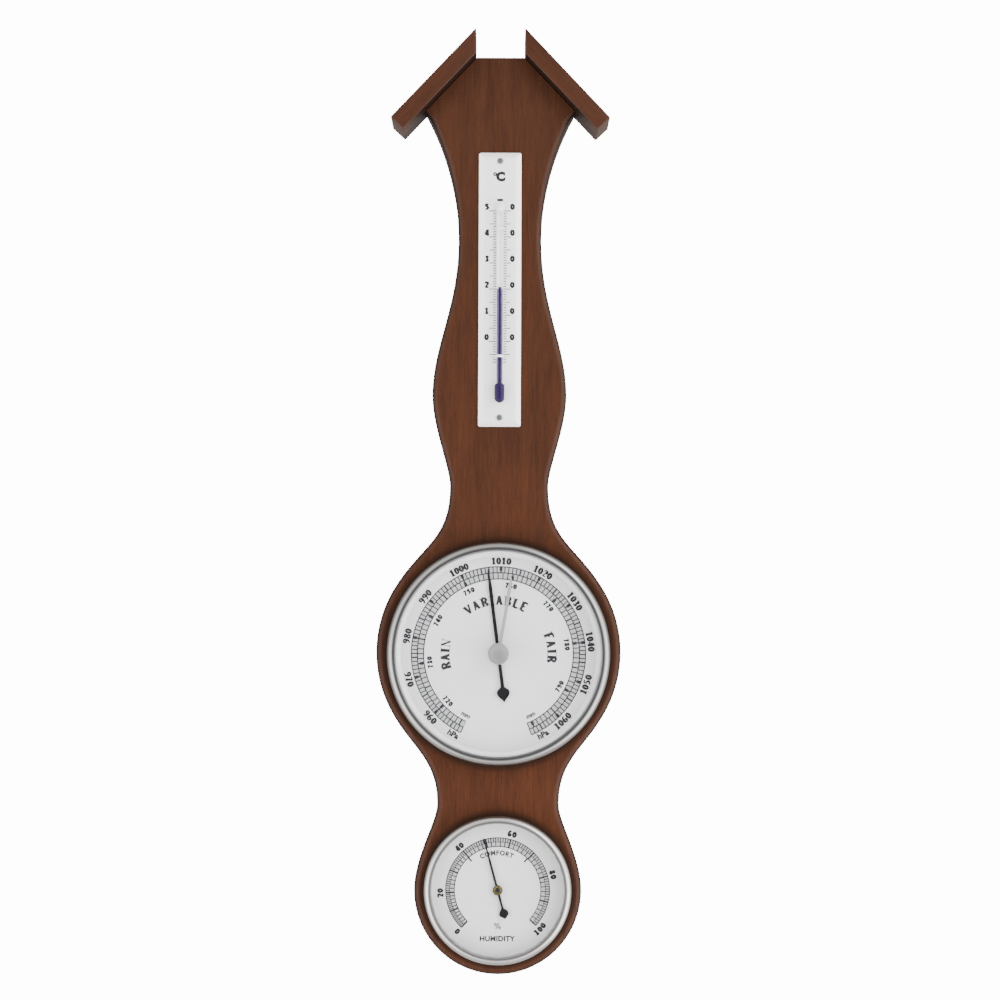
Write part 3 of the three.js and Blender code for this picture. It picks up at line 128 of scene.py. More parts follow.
floor_level, floor_reach = -1.5, 1.2
floor_mesh = bpy.data.meshes.new("floor")
floor_rim = [math.tau * i / 96 for i in range(96)]
floor_mesh.from_pydata(
    [(floor_reach * math.cos(turn), floor_reach * math.sin(turn), floor_level) for turn in floor_rim],
    [], [tuple(range(96))])
floor = bpy.data.objects.new("floor", floor_mesh)
floor_paint = bpy.data.materials.new("pale_floor")
floor_paint.use_nodes = True
floor_grit = node(floor_paint.node_tree, "ShaderNodeTexNoise", {"Scale": 30.0, "Detail": 4.0})
floor_tone = node(floor_paint.node_tree, "ShaderNodeMapRange", {
    "Value": floor_grit.outputs["Fac"], "To Min": 0.84, "To Max": 0.9})
floor_colour = node(floor_paint.node_tree, "ShaderNodeCombineColor", {
    0: floor_tone.outputs[0], 1: floor_tone.outputs[0], 2: floor_tone.outputs[0]})
floor_shader = floor_paint.node_tree.nodes["Principled BSDF"]
floor_shader.inputs["Roughness"].default_value = 0.8
floor_paint.node_tree.links.new(floor_colour.outputs[0], floor_shader.inputs["Base Color"])
floor_mesh.materials.append(floor_paint)
bpy.context.scene.collection.objects.link(floor)


# The back board: solid walnut, 18 mm thick, sawn to the banjo outline, its front edge rounded over
# and the whole stained and lacquered. Two through bores take the instruments, and a recess in its
# back takes the hanger. Heights here are measured from the centre of the large lobe.
MM = 0.001
hanger_height = 258.0
board_thickness, edge_round, back_ease = 18.0, 3.0, 0.5
top_half, top_height = 11.4, 278.7
roof_pitch = math.radians(46.7)
seat_gap = 0.3
barometer_axis, barometer_bore = -0.85, 47.0
hygrometer_axis, hygrometer_bore = -109.3, 29.5


def place(x, height, depth):
    return Vector((x * MM, -depth * MM, (height - hanger_height) * MM))


def piece(name, points, faces, material, slot, body="root", stands_for=(), crease=35, loose=False):
    """A mesh from points of x, height and depth, smooth up to the crease angle, riding on its body."""
    mesh = bpy.data.meshes.new(name)
    mesh.from_pydata([place(*point) for point in points], [], faces)
    if not loose:
        shell = bmesh.new()
        shell.from_mesh(mesh)
        bmesh.ops.remove_doubles(shell, verts=shell.verts, dist=1e-6)
        bmesh.ops.dissolve_degenerate(shell, edges=shell.edges, dist=1e-7)
        bmesh.ops.recalc_face_normals(shell, faces=shell.faces)
        shell.to_mesh(mesh)
        shell.free()
    mesh.materials.append(material)
    mesh.shade_smooth()
    mesh.set_sharp_from_angle(angle=math.radians(crease))
    made = bpy.data.objects.new(name, mesh)
    bpy.context.scene.collection.objects.link(made)
    if body:
        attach(made, body)
    if stands_for:
        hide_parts(*stands_for)
    return made


def material(name, **plain):
    """A new material with plain numbers and colours on its Principled shader."""
    made = bpy.data.materials.new(name)
    made.use_nodes = True
    shader = made.node_tree.nodes["Principled BSDF"]
    for socket, value in plain.items():
        shader.inputs[socket.replace("_", " ")].default_value = value
    return made, made.node_tree, shader


def effect(name, inputs, outputs):
    """A shader node group with named inputs and outputs."""
    tree = bpy.data.node_groups.new(name, "ShaderNodeTree")
    for label, kind, value in inputs:
        socket = tree.interface.new_socket(label, in_out="INPUT", socket_type=kind)
        if value is not None:
            socket.default_value = value
    for label in outputs:
        tree.interface.new_socket(label, in_out="OUTPUT", socket_type="NodeSocketFloat")
    return tree, tree.nodes.new("NodeGroupInput"), tree.nodes.new("NodeGroupOutput")


def put(tree, group, wires):
    """Places a group in a material's tree."""
    made = tree.nodes.new("ShaderNodeGroup")
    made.node_tree = group
    for socket, value in wires.items():
        if isinstance(value, bpy.types.NodeSocket):
            tree.links.new(value, made.inputs[socket])
        else:
            made.inputs[socket].default_value = value
    return made


# Grain that runs along Z: broad streaks, fine fibres and short open pores
wood_grain, grain_in, grain_out = effect(
    "wood grain", [("Vector", "NodeSocketVector", None), ("Streak", "NodeSocketFloat", 0.5)],
    ["Tone", "Pores", "Height"])
grain_parts = {}
for label, stretch, detail in [
    ("streaks", (120, 120, 16), 3.0), ("bands", (420, 420, 45), 4.0),
    ("fibres", (1700, 1700, 90), 3.0), ("pores", (2600, 2600, 150), 1.0),
]:
    scaled = node(wood_grain, "ShaderNodeVectorMath", {0: grain_in.outputs["Vector"], 1: stretch}, operation="MULTIPLY")
    grain_parts[label] = node(wood_grain, "ShaderNodeTexNoise", {
        "Vector": scaled.outputs[0], "Scale": 1.0, "Detail": detail, "Roughness": 0.6}).outputs["Fac"]
broad = node(wood_grain, "ShaderNodeMix", {
    "Factor": grain_in.outputs["Streak"], "A": grain_parts["bands"], "B": grain_parts["streaks"]}, data_type="FLOAT")
grain_tone = node(wood_grain, "ShaderNodeMix", {
    "Factor": 0.38, "A": broad.outputs["Result"], "B": grain_parts["fibres"]}, data_type="FLOAT")
spread = node(wood_grain, "ShaderNodeMapRange", {
    "Value": grain_tone.outputs["Result"], "From Min": 0.27, "From Max": 0.73})
open_pores = node(wood_grain, "ShaderNodeMapRange", {
    "Value": grain_parts["pores"], "From Min": 0.62, "From Max": 0.8, "To Max": 0.7})
sunk = node(wood_grain, "ShaderNodeMath", {0: open_pores.outputs[0], 1: -0.8}, operation="MULTIPLY")
relief = node(wood_grain, "ShaderNodeMath", {
    0: grain_parts["fibres"], 1: 0.35, 2: sunk.outputs[0]}, operation="MULTIPLY_ADD")
wood_grain.links.new(spread.outputs[0], grain_out.inputs["Tone"])
wood_grain.links.new(open_pores.outputs[0], grain_out.inputs["Pores"])
wood_grain.links.new(relief.outputs[0], grain_out.inputs["Height"])


# Painted shade in a ring just outside an instrument's rim, where it meets the board
rim_shade, rim_shade_in, rim_shade_out = effect(
    "painted rim shade", [("Vector", "NodeSocketVector", None), ("Middle", "NodeSocketVector", (0.0, 0.0, 0.0)),
                       ("Radius", "NodeSocketFloat", 0.05), ("Width", "NodeSocketFloat", 0.002)], ["Mask"])
rim_shade_from = node(rim_shade, "ShaderNodeVectorMath", {
    0: rim_shade_in.outputs["Vector"], 1: rim_shade_in.outputs["Middle"]}, operation="SUBTRACT")
rim_shade_flat = node(rim_shade, "ShaderNodeVectorMath", {0: rim_shade_from.outputs[0], 1: (1, 0, 1)}, operation="MULTIPLY")
rim_shade_radius = node(rim_shade, "ShaderNodeVectorMath", {0: rim_shade_flat.outputs[0]}, operation="LENGTH")
rim_shade_past = node(rim_shade, "ShaderNodeMath", {
    0: rim_shade_radius.outputs["Value"], 1: rim_shade_in.outputs["Radius"]}, operation="SUBTRACT")
rim_shade_fade = node(rim_shade, "ShaderNodeMapRange", {
    "Value": rim_shade_past.outputs[0], "From Min": 0.0, "From Max": rim_shade_in.outputs["Width"], "To Min": 0.8, "To Max": 0.0},
    interpolation_type="SMOOTHSTEP")
rim_shade.links.new(rim_shade_fade.outputs[0], rim_shade_out.inputs["Mask"])


def lacquered_wood(name, dark, light, pore, edge, lean=0.0, shift=(0.0, 0.0, 0.0), foot=None, rim_shades=(), gloss=0.45,
                   underside_shade=None):
    """Stained wood under satin lacquer. Faces that turn away from the front take the edge tint, partly stain gathered
    on the edges and partly painted light: painted shade on the board's edges, a painted grey sheen on the slats' ends.
    """
    made, tree, shader = material(
        name, Specular_IOR_Level=0.12, Coat_Weight=0.03, Coat_Roughness=0.22, Coat_IOR=1.5)
    where = node(tree, "ShaderNodeTexCoord")
    turned_grain = node(tree, "ShaderNodeMapping", {
        "Vector": where.outputs["Object"], "Rotation": (0.0, lean, 0.0), "Location": shift})
    grain = put(tree, wood_grain, {"Vector": turned_grain.outputs[0], "Streak": 0.45})
    base = node(tree, "ShaderNodeMix", {
        "Factor": grain.outputs["Tone"], "A": dark, "B": light}, data_type="RGBA")
    level = node(tree, "ShaderNodeSeparateXYZ", {0: where.outputs["Object"]})
    # lighter and redder towards the foot of the board, by height
    lower = node(tree, "ShaderNodeMapRange", {"Value": level.outputs["Z"], "From Min": -0.1, "From Max": -0.34})
    ruddy = node(tree, "ShaderNodeMix", {
        "Factor": lower.outputs[0], "A": (1.0, 1.0, 1.0, 1.0), "B": foot or (1.0, 1.0, 1.0, 1.0)}, data_type="RGBA")
    toned = node(tree, "ShaderNodeMix", {
        "Factor": 1.0, "A": base.outputs["Result"], "B": ruddy.outputs["Result"]}, data_type="RGBA", blend_type="MULTIPLY")
    pored = node(tree, "ShaderNodeMix", {
        "Factor": grain.outputs["Pores"], "A": toned.outputs["Result"], "B": pore}, data_type="RGBA")
    stain_and_shade = pored.outputs["Result"]
    # painted shade round the instruments' rims: the wood darkens towards tint(20, 10, 5) just outside each bezel
    for middle, radius in rim_shades:
        rim_shaded = put(tree, rim_shade, {
            "Vector": where.outputs["Object"], "Middle": middle, "Radius": radius, "Width": 0.0042})
        stain_and_shade = node(tree, "ShaderNodeMix", {
            "Factor": rim_shaded.outputs["Mask"], "A": stain_and_shade, "B": tint(20, 10, 5)}, data_type="RGBA").outputs["Result"]
    # partly painted light: the edge tint stands for shade on the board's rounded edges and a grey sheen on the slats'
    # ends
    facing = node(tree, "ShaderNodeSeparateXYZ", {0: where.outputs["Normal"]})
    square_on = node(tree, "ShaderNodeMath", {0: facing.outputs["Y"]}, operation="ABSOLUTE")
    rim = node(tree, "ShaderNodeMapRange", {
        "Value": square_on.outputs[0], "From Min": 0.99, "From Max": 0.55, "To Max": 0.8})
    stained_and_shaded = node(tree, "ShaderNodeMix", {
        "Factor": rim.outputs[0], "A": stain_and_shade, "B": edge}, data_type="RGBA")
    if underside_shade:
        # Painted shade: faces that look down are darkened towards the board, up to a distance from the middle
        from_middle = node(tree, "ShaderNodeMath", {0: level.outputs["X"]}, operation="ABSOLUTE")
        near_board = node(tree, "ShaderNodeMapRange", {
            "Value": from_middle.outputs[0], "From Min": underside_shade[0] * MM, "From Max": underside_shade[1] * MM})
        below = node(tree, "ShaderNodeMapRange", {
            "Value": facing.outputs["Z"], "From Min": -0.3, "From Max": -0.5})
        painted_underside_shade = node(tree, "ShaderNodeMath", {0: near_board.outputs[0], 1: below.outputs[0]}, operation="MULTIPLY")
        stained_and_shaded = node(tree, "ShaderNodeMix", {
            "Factor": painted_underside_shade.outputs[0], "A": stained_and_shaded.outputs["Result"], "B": underside_shade[2]}, data_type="RGBA")
    tree.links.new(stained_and_shaded.outputs["Result"], shader.inputs["Base Color"])
    rough = node(tree, "ShaderNodeMapRange", {
        "Value": grain.outputs["Tone"], "To Min": gloss + 0.08, "To Max": gloss - 0.04})
    tree.links.new(rough.outputs[0], shader.inputs["Roughness"])
    bump = node(tree, "ShaderNodeBump", {"Height": grain.outputs["Height"], "Strength": 0.25, "Distance": 0.0002})
    tree.links.new(bump.outputs[0], shader.inputs["Normal"])
    return made


# The walnut's edge tint, tint(32, 20, 14), is partly painted shade on the board's rounded edges.
walnut = lacquered_wood(
    "walnut", tint(37, 16, 7), tint(66, 37, 21), tint(31, 14, 7), tint(32, 20, 14), foot=(1.4, 1.32, 1.25, 1.0),
    # rim_shades paint shade on the board just outside the two bezels
    rim_shades=[((0.0, 0.0, (axis - hanger_height) * MM), radius * MM) for axis, radius in (
        (barometer_axis, 51.4), (hygrometer_axis, 33.8))])


def arc(middle_x, middle_height, radius, start, end, steps):
    turns = [math.radians(start + (end - start) * i / steps) for i in range(steps + 1)]
    return [Vector((middle_x + radius * math.cos(t), middle_height + radius * math.sin(t))) for t in turns]


def swoop(start, leave, leave_pull, end, arrive, arrive_pull, steps):
    """A curve that leaves one point and arrives at another in given directions."""
    start, leave, end, arrive = (Vector(v) for v in (start, leave, end, arrive))
    span = (end - start).length
    a, b = start + leave * leave_pull * span, end - arrive * arrive_pull * span
    shares = [i / steps for i in range(steps + 1)]
    return [start * (1 - t) ** 3 + a * 3 * t * (1 - t) ** 2 + b * 3 * t * t * (1 - t) + end * t ** 3 for t in shares]


def board_side():
    """The right side from under the roof down to the foot of the lower lobe."""
    waist_half, waist_height, waist_radius = 19.4, 192.0, 130.0
    main_radius, shoulder, under = 56.8, 31.0, 22.5
    lower_radius, lower_height, lower_shoulder = 38.65, -109.75, 11.0
    bulge, upper_neck, lower_neck = (31.35, 119.7), (22.9, 77.0), (28.15, -70.0)
    down = (0.0, -1.0)
    waist_middle = Vector((waist_half + waist_radius, waist_height))
    corner = Vector((top_half - seat_gap / math.sin(roof_pitch), top_height))
    slope = Vector((math.cos(roof_pitch), -math.sin(roof_pitch)))
    to_corner = corner - waist_middle
    nearest = -to_corner.dot(slope)
    reach = nearest - math.sqrt(nearest ** 2 - to_corner.length_squared + waist_radius ** 2)
    from_middle = corner + slope * reach - waist_middle
    start = math.degrees(math.atan2(from_middle.y, from_middle.x))

    def on_lobe(radius, height, degrees):
        return (radius * math.cos(math.radians(degrees)), height + radius * math.sin(math.radians(degrees)))

    def round_lobe(degrees):
        return (math.sin(math.radians(degrees)), -math.cos(math.radians(degrees)))

    runs = [
        arc(*waist_middle, waist_radius, start, 180, 12),
        swoop((waist_half, waist_height), down, 0.42, bulge, down, 0.32, 16),
        swoop(bulge, down, 0.35, upper_neck, down, 0.2, 14),
        swoop(upper_neck, down, 0.47, on_lobe(main_radius, 0, shoulder), round_lobe(shoulder), 0.445, 16),
        arc(0, 0, main_radius, shoulder, -under, 20),
        swoop(on_lobe(main_radius, 0, -under), round_lobe(-under), 0.43, lower_neck, down, 0.42, 14),
        swoop(lower_neck, down, 0.22, on_lobe(lower_radius, lower_height, lower_shoulder),
              round_lobe(lower_shoulder), 0.43, 12),
        arc(0, lower_height, lower_radius, lower_shoulder, -90, 32),
    ]
    return [runs[0][0]] + [point for run in runs for point in run[1:]]


def board_outline(inset):
    """The whole outline, drawn in by an inset along the moulded sides but not under the roof."""
    side = board_side()
    right = [Vector((top_half - seat_gap / math.sin(roof_pitch), top_height)), side[0].copy()]
    for before, point, after in zip(side, side[1:], side[2:]):
        along = (after - before).normalized()
        right.append(point + Vector((along.y, -along.x)) * inset)
    foot = Vector((0, side[-1].y + inset))
    return right + [foot] + [Vector((-point.x, point.y)) for point in reversed(right)]


def circle(radius, height, steps, x=0.0):
    return [Vector((x + radius * math.cos(math.tau * i / steps), height + radius * math.sin(math.tau * i / steps)))
            for i in range(steps)]


class Shell:
    """Points and faces gathered loop by loop; a loop is a list of x and height, at one depth."""

    def __init__(self):
        self.points, self.faces = [], []

    def loop(self, outline, depth):
        start = len(self.points)
        self.points += [(x, height, depth) for x, height in outline]
        return list(range(start, len(self.points)))

    def wall(self, first, second):
        for i, a in enumerate(first):
            b = (i + 1) % len(first)
            self.faces.append((a, first[b], second[b], second[i]))

    def cap(self, *loops):
        corners = [index for loop in loops for index in loop]
        flat = [[Vector((self.points[i][0], self.points[i][1], 0)) for i in loop] for loop in loops]
        self.faces += [tuple(corners[i] for i in face) for face in tessellate_polygon(flat)]


board = Shell()
board_steps = 8
back_outline = board.loop(board_outline(back_ease), 0)
rings = [back_outline, board.loop(board_outline(0), back_ease)]
for i in range(board_steps + 1):
    turn = math.pi / 2 * i / board_steps
    rings.append(board.loop(
        board_outline(edge_round * (1 - math.cos(turn))),
        board_thickness - edge_round + edge_round * math.sin(turn)))
rings.append(board.loop(board_outline(edge_round + 0.4), board_thickness))
for first, second in zip(rings, rings[1:]):
    board.wall(first, second)
recess_half_length, recess_low, recess_high, recess_depth = 19.3, -3.5 - 8.3, -3.5 + 8.3, 1.6
pocket_half, pocket_low, pocket_high, pocket_depth = 5.6, -7.0, -2.4, 9.0
tube_hole_height, tube_hole_radius, tube_hole_floor = 208.4, 2.25, 13.7
front_holes, back_holes = [], []
for axis, bore in [(barometer_axis, barometer_bore), (hygrometer_axis, hygrometer_bore)]:
    outline = circle(bore, axis, 96)
    back_hole, front_hole = board.loop(outline, 0), board.loop(outline, board_thickness)
    board.wall(back_hole, front_hole)
    back_holes.append(back_hole)
    front_holes.append(front_hole)
tube_outline = circle(tube_hole_radius, tube_hole_height, 24)
tube_mouth, tube_floor = board.loop(tube_outline, board_thickness), board.loop(tube_outline, tube_hole_floor)
board.wall(tube_floor, tube_mouth)
board.cap(tube_floor)
recess_outline = [(x, hanger_height + z) for x, z in [
    (-recess_half_length, recess_low), (recess_half_length, recess_low),
    (recess_half_length, recess_high), (-recess_half_length, recess_high)]]
pocket_outline = (
    arc(0, hanger_height + pocket_low, pocket_half, 180, 360, 16)
    + arc(0, hanger_height + pocket_high, pocket_half, 0, 180, 16))
recess_mouth, recess_floor = board.loop(recess_outline, 0), board.loop(recess_outline, recess_depth)
pocket_mouth, pocket_floor = board.loop(pocket_outline, recess_depth), board.loop(pocket_outline, pocket_depth)
board.wall(recess_mouth, recess_floor)
board.wall(pocket_mouth, pocket_floor)
board.cap(recess_floor, pocket_mouth)
board.cap(pocket_floor)
board.cap(rings[-1], *front_holes, tube_mouth)
board.cap(back_outline, *back_holes, recess_mouth)
piece("walnut_board", board.points, board.faces, walnut, "walnut", stands_for=["back_board"])


# The roof: two flat slats of the same wood, mitred upright at the ridge and glued to the board's
# sloping shoulders. Their arrises are only just eased, and their grain runs down the slope.
slat_thickness, slat_length, slat_depth, slat_ease = 8.5, 58.35, 27.0, 0.8
down_slope = Vector((math.cos(roof_pitch), -math.sin(roof_pitch)))
out_of_slope = Vector((math.sin(roof_pitch), math.cos(roof_pitch)))
under_top = Vector((top_half, top_height))
over_top = under_top + Vector((0, slat_thickness / math.cos(roof_pitch)))
over_end = over_top + down_slope * slat_length
under_end = over_end - out_of_slope * slat_thickness
for name, side in [("left", -1), ("right", 1)]:
    # The slats' edge tint, tint(64, 48, 41), is a painted grey sheen on their ends.
    roof_wood = lacquered_wood(
        f"roof_wood_{name}", tint(39, 18, 8), tint(63, 35, 22), tint(34, 17, 9), tint(64, 48, 41),
        lean=side * (math.pi / 2 - roof_pitch), shift=(0.3 * side, 0.1, 0.07 * side),
        # painted shade on the slat's underside near the board
        underside_shade=(45.0, 36.5, tint(28, 14, 8)))
    slat = Shell()
    section = [(side * corner.x, corner.y) for corner in (under_top, under_end, over_end, over_top)]
    back, front = slat.loop(section, 0), slat.loop(section, slat_depth)
    slat.wall(back, front)
    slat.faces += [tuple(back), tuple(front)]
    board_slat = piece(
        f"slat_{name}", slat.points, slat.faces, roof_wood, "roof_wood",
        stands_for=[f"roof_slat_{name}"])
    arrises = bmesh.new()
    arrises.from_mesh(board_slat.data)
    bmesh.ops.bevel(
        arrises, geom=arrises.edges[:], offset=slat_ease * MM, segments=4, profile=0.5, affect="EDGES")
    arrises.to_mesh(board_slat.data)
    arrises.free()
    board_slat.data.shade_smooth()
    board_slat.data.set_sharp_from_angle(angle=math.radians(40))


# The wall hanger: a blanked plate of zinc-plated steel with a keyhole, let into the back of the
# board over a pocket for the nail's head and held by two countersunk screws.
metal_skin, skin_in, skin_out = effect(
    "metal skin", [("Vector", "NodeSocketVector", None), ("Scale", "NodeSocketFloat", 900.0),
                   ("Scratch", "NodeSocketVector", (1.0, 1.0, 1.0))],
    ["Tone", "Height"])
skin_where = node(metal_skin, "ShaderNodeVectorMath", {
    0: skin_in.outputs["Vector"], 1: skin_in.outputs["Scratch"]}, operation="MULTIPLY")
skin_marks = node(metal_skin, "ShaderNodeTexNoise", {
    "Vector": skin_where.outputs[0], "Scale": skin_in.outputs["Scale"], "Detail": 4.0, "Roughness": 0.65})
skin_cloud = node(metal_skin, "ShaderNodeTexNoise", {
    "Vector": skin_in.outputs["Vector"], "Scale": 90.0, "Detail": 3.0})
skin_tone = node(metal_skin, "ShaderNodeMix", {
    "Factor": 0.4, "A": skin_marks.outputs["Fac"], "B": skin_cloud.outputs["Fac"]}, data_type="FLOAT")
metal_skin.links.new(skin_tone.outputs["Result"], skin_out.inputs["Tone"])
metal_skin.links.new(skin_marks.outputs["Fac"], skin_out.inputs["Height"])


def bare_metal(name, dark, light, smooth, rough, scratch=(1.0, 1.0, 1.0), scale=900.0, strength=0.06):
    """Bare or plated metal with a faint mottle and fine marks from its making."""
    made, tree, shader = material(name, Metallic=1.0)
    where = node(tree, "ShaderNodeTexCoord")
    skin = put(tree, metal_skin, {"Vector": where.outputs["Object"], "Scale": scale, "Scratch": scratch})
    colour = node(tree, "ShaderNodeMix", {
        "Factor": skin.outputs["Tone"], "A": dark, "B": light}, data_type="RGBA")
    tree.links.new(colour.outputs["Result"], shader.inputs["Base Color"])
    dulled = node(tree, "ShaderNodeMapRange", {
        "Value": skin.outputs["Tone"], "From Min": 0.3, "From Max": 0.7, "To Min": rough, "To Max": smooth})
    tree.links.new(dulled.outputs[0], shader.inputs["Roughness"])
    bump = node(tree, "ShaderNodeBump", {
        "Height": skin.outputs["Height"], "Strength": strength, "Distance": 0.0001})
    tree.links.new(bump.outputs[0], shader.inputs["Normal"])
    return made


steel = bare_metal("steel", tint(120, 124, 130), tint(172, 176, 182), 0.25, 0.42)


def dress(material_of_nodes, names):
    """Gives CAD nodes that stay in the scene their finish."""
    for name in names:
        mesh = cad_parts[name].data
        mesh.materials.clear()
        mesh.materials.append(material_of_nodes)


def turned(profile, height, steps, x=0.0):
    """A piece turned about an axis along Y: its profile is radius and depth, ending on the axis or closed."""
    closed = profile[0][0] > 0 or profile[-1][0] > 0
    points, faces = [], []
    for radius, depth in profile:
        for i in range(steps):
            turn = math.tau * i / steps
            points.append((x + radius * math.sin(turn), height + radius * math.cos(turn), depth))
    rows = len(profile)
    for row in range(rows if closed else rows - 1):
        for i in range(steps):
            j, after = (i + 1) % steps, (row + 1) % rows
            faces.append((row * steps + i, row * steps + j, after * steps + j, after * steps + i))
    return points, faces


def arris(middle_radius, middle_depth, radius, start, end, steps):
    """A round arris in a turned profile: 0 degrees is outwards and 90 is to the front."""
    return [(point.x, point.y) for point in arc(middle_radius, middle_depth, radius, start, end, steps)]


hanger_back, hanger_front, hanger_corner = 0.1, 1.3, 1.2
hanger_half_length, hanger_half_width, hanger_middle = 19.0, 8.0, -3.5
slot_half, keyhole_radius, slot_length = 2.4, 4.3, 7.0
hanger_outline = [
    point for x, z, start in [(1, -1, -90), (1, 1, 0), (-1, 1, 90), (-1, -1, 180)]
    for point in arc(
        x * (hanger_half_length - hanger_corner),
        hanger_height + hanger_middle + z * (hanger_half_width - hanger_corner),
        hanger_corner, start, start + 90, 6)]
meet = math.degrees(math.asin(slot_half / keyhole_radius))
keyhole_outline = (
    arc(0, hanger_height - slot_length, keyhole_radius, 90 + meet, 450 - meet, 36)
    + arc(0, hanger_height - slot_half, slot_half, 0, 180, 16))
hanger_screws = [(-14.0, hanger_height + hanger_middle), (14.0, hanger_height + hanger_middle)]
hanger = Shell()
hanger_loops = {}
for depth in (hanger_back, hanger_front):
    hanger_loops[depth] = [hanger.loop(hanger_outline, depth), hanger.loop(keyhole_outline, depth)] + [
        hanger.loop(circle(2.95, z, 24, x), depth) for x, z in hanger_screws]
    hanger.cap(*hanger_loops[depth])
for back, front in zip(hanger_loops[hanger_back], hanger_loops[hanger_front]):
    hanger.wall(back, front)
piece("keyhole_plate", hanger.points, hanger.faces, steel, "steel", stands_for=["hanger_plate"])
for side, (x, z) in zip(("left", "right"), hanger_screws):
    screw_profile = [
        (0, 0.75), (0.8, 0.75), (1.1, 0.35), (2.5, 0.32), (2.8, 0.5), (1.4, 1.75), (1.4, 10.0), (0, 12.0)]
    piece(f"countersunk_screw_{side}", *turned(screw_profile, z, 24, x), steel, "steel",
          stands_for=[f"hanger_screw_{side}"])


# The barometer's case: a shallow cup drawn from tinned sheet, dropped into the upper bore from the
# front until its rim lies on the board. The movement is screwed to its floor.
tin = bare_metal("tinned_sheet", tint(148, 150, 152), tint(186, 188, 190), 0.3, 0.5, scale=400.0)
flange_back = board_thickness + seat_gap


def instrument_case(name, axis, bore, wall, floor, flange, vents, stands_for):
    outer, bend = bore - 0.3, 1.2
    points, faces = turned(
        [(outer - bend, floor)] + arris(outer - bend, floor + bend, bend, -90, 0, 6)
        + [(outer, flange_back), (flange, flange_back), (flange, flange_back + wall),
           (outer - wall, flange_back + wall), (outer - wall, floor + bend),
           (outer - bend, floor + wall)], axis, 96)
    # the floor is closed apart from its vents, so the last stretch of the profile comes off
    sides = 96
    faces = faces[:-sides]
    case = Shell()
    case.points, case.faces = points, faces
    rows = len(points) // sides
    outside, inside = list(range(sides)), list(range((rows - 1) * sides, rows * sides))
    mouths = [circle(radius, axis + z, 20, x) for x, z, radius in vents]
    low = [case.loop(mouth, floor) for mouth in mouths]
    high = [case.loop(mouth, floor + wall) for mouth in mouths]
    for first, second in zip(low, high):
        case.wall(first, second)
    case.cap(outside, *low)
    case.cap(inside, *high)
    return piece(name, case.points, case.faces, tin, "case_tin", stands_for=stands_for)


barometer_case_floor, barometer_wall = 2.4, 1.0
instrument_case(
    "barometer_cup", barometer_axis, barometer_bore, barometer_wall, barometer_case_floor, 50.0,
    [(0.0, -37.0, 1.55)], ["barometer_case"])


# The barometer's movement: a brass plate with the corrugated vacuum capsule, its leaf spring, the
# levers, the chain and the pointer's cage, all screwed together behind the dial.
brass = bare_metal("brass", tint(158, 124, 62), tint(205, 172, 104), 0.22, 0.38)
dress(brass, [
    "movement_plate", "aneroid_capsule", "spring_block", "adjusting_screw", "main_lever", "shaft_bracket",
    "pointer_cage", "cage_pillar_left", "cage_pillar_right"])
dress(steel, [
    "movement_screw_1", "movement_screw_2", "movement_screw_3", "capsule_post", "main_spring",
    "rocking_shaft", "pointer_chain", "hairspring", "cage_screw_left", "cage_screw_right", "pointer_arbor"])


# The barometer's dial: a disc of silvered sheet, finely spun, with its scales printed in black. It
# lies in the case's rim, and a white cone ring between dial and glass keeps the two apart.
spun, spun_in, spun_out = effect(
    "spun rings", [("Vector", "NodeSocketVector", None), ("Spacing", "NodeSocketFloat", 5000.0),
                   ("Hollow", "NodeSocketFloat", 1.0), ("Reach", "NodeSocketFloat", 0.001)],
    ["Rings", "Cloud", "Hollow Shade"])
spun_parts = node(spun, "ShaderNodeSeparateXYZ", {0: spun_in.outputs["Vector"]})
spun_flat = node(spun, "ShaderNodeCombineXYZ", {"X": spun_parts.outputs["X"], "Z": spun_parts.outputs["Z"]})
spun_radius = node(spun, "ShaderNodeVectorMath", {0: spun_flat.outputs[0]}, operation="LENGTH")
spun_line = node(spun, "ShaderNodeMath", {
    0: spun_radius.outputs["Value"], 1: spun_in.outputs["Spacing"]}, operation="MULTIPLY")
spun_rings = node(spun, "ShaderNodeTexNoise", {
    "W": spun_line.outputs[0], "Scale": 1.0, "Detail": 3.0, "Roughness": 0.7}, noise_dimensions="1D")
spun_cloud = node(spun, "ShaderNodeTexNoise", {
    "Vector": spun_in.outputs["Vector"], "Scale": 60.0, "Detail": 3.0})
spun_off = node(spun, "ShaderNodeMath", {
    0: spun_radius.outputs["Value"], 1: spun_in.outputs["Hollow"]}, operation="SUBTRACT")
spun_aside = node(spun, "ShaderNodeMath", {0: spun_off.outputs[0]}, operation="ABSOLUTE")
spun_hollow_shade = node(spun, "ShaderNodeMapRange", {
    "Value": spun_aside.outputs[0], "From Max": spun_in.outputs["Reach"], "To Min": 1.0, "To Max": 0.0},
    interpolation_type="SMOOTHSTEP")
spun.links.new(spun_hollow_shade.outputs[0], spun_out.inputs["Hollow Shade"])
spun.links.new(spun_rings.outputs["Fac"], spun_out.inputs["Rings"])
spun.links.new(spun_cloud.outputs["Fac"], spun_out.inputs["Cloud"])


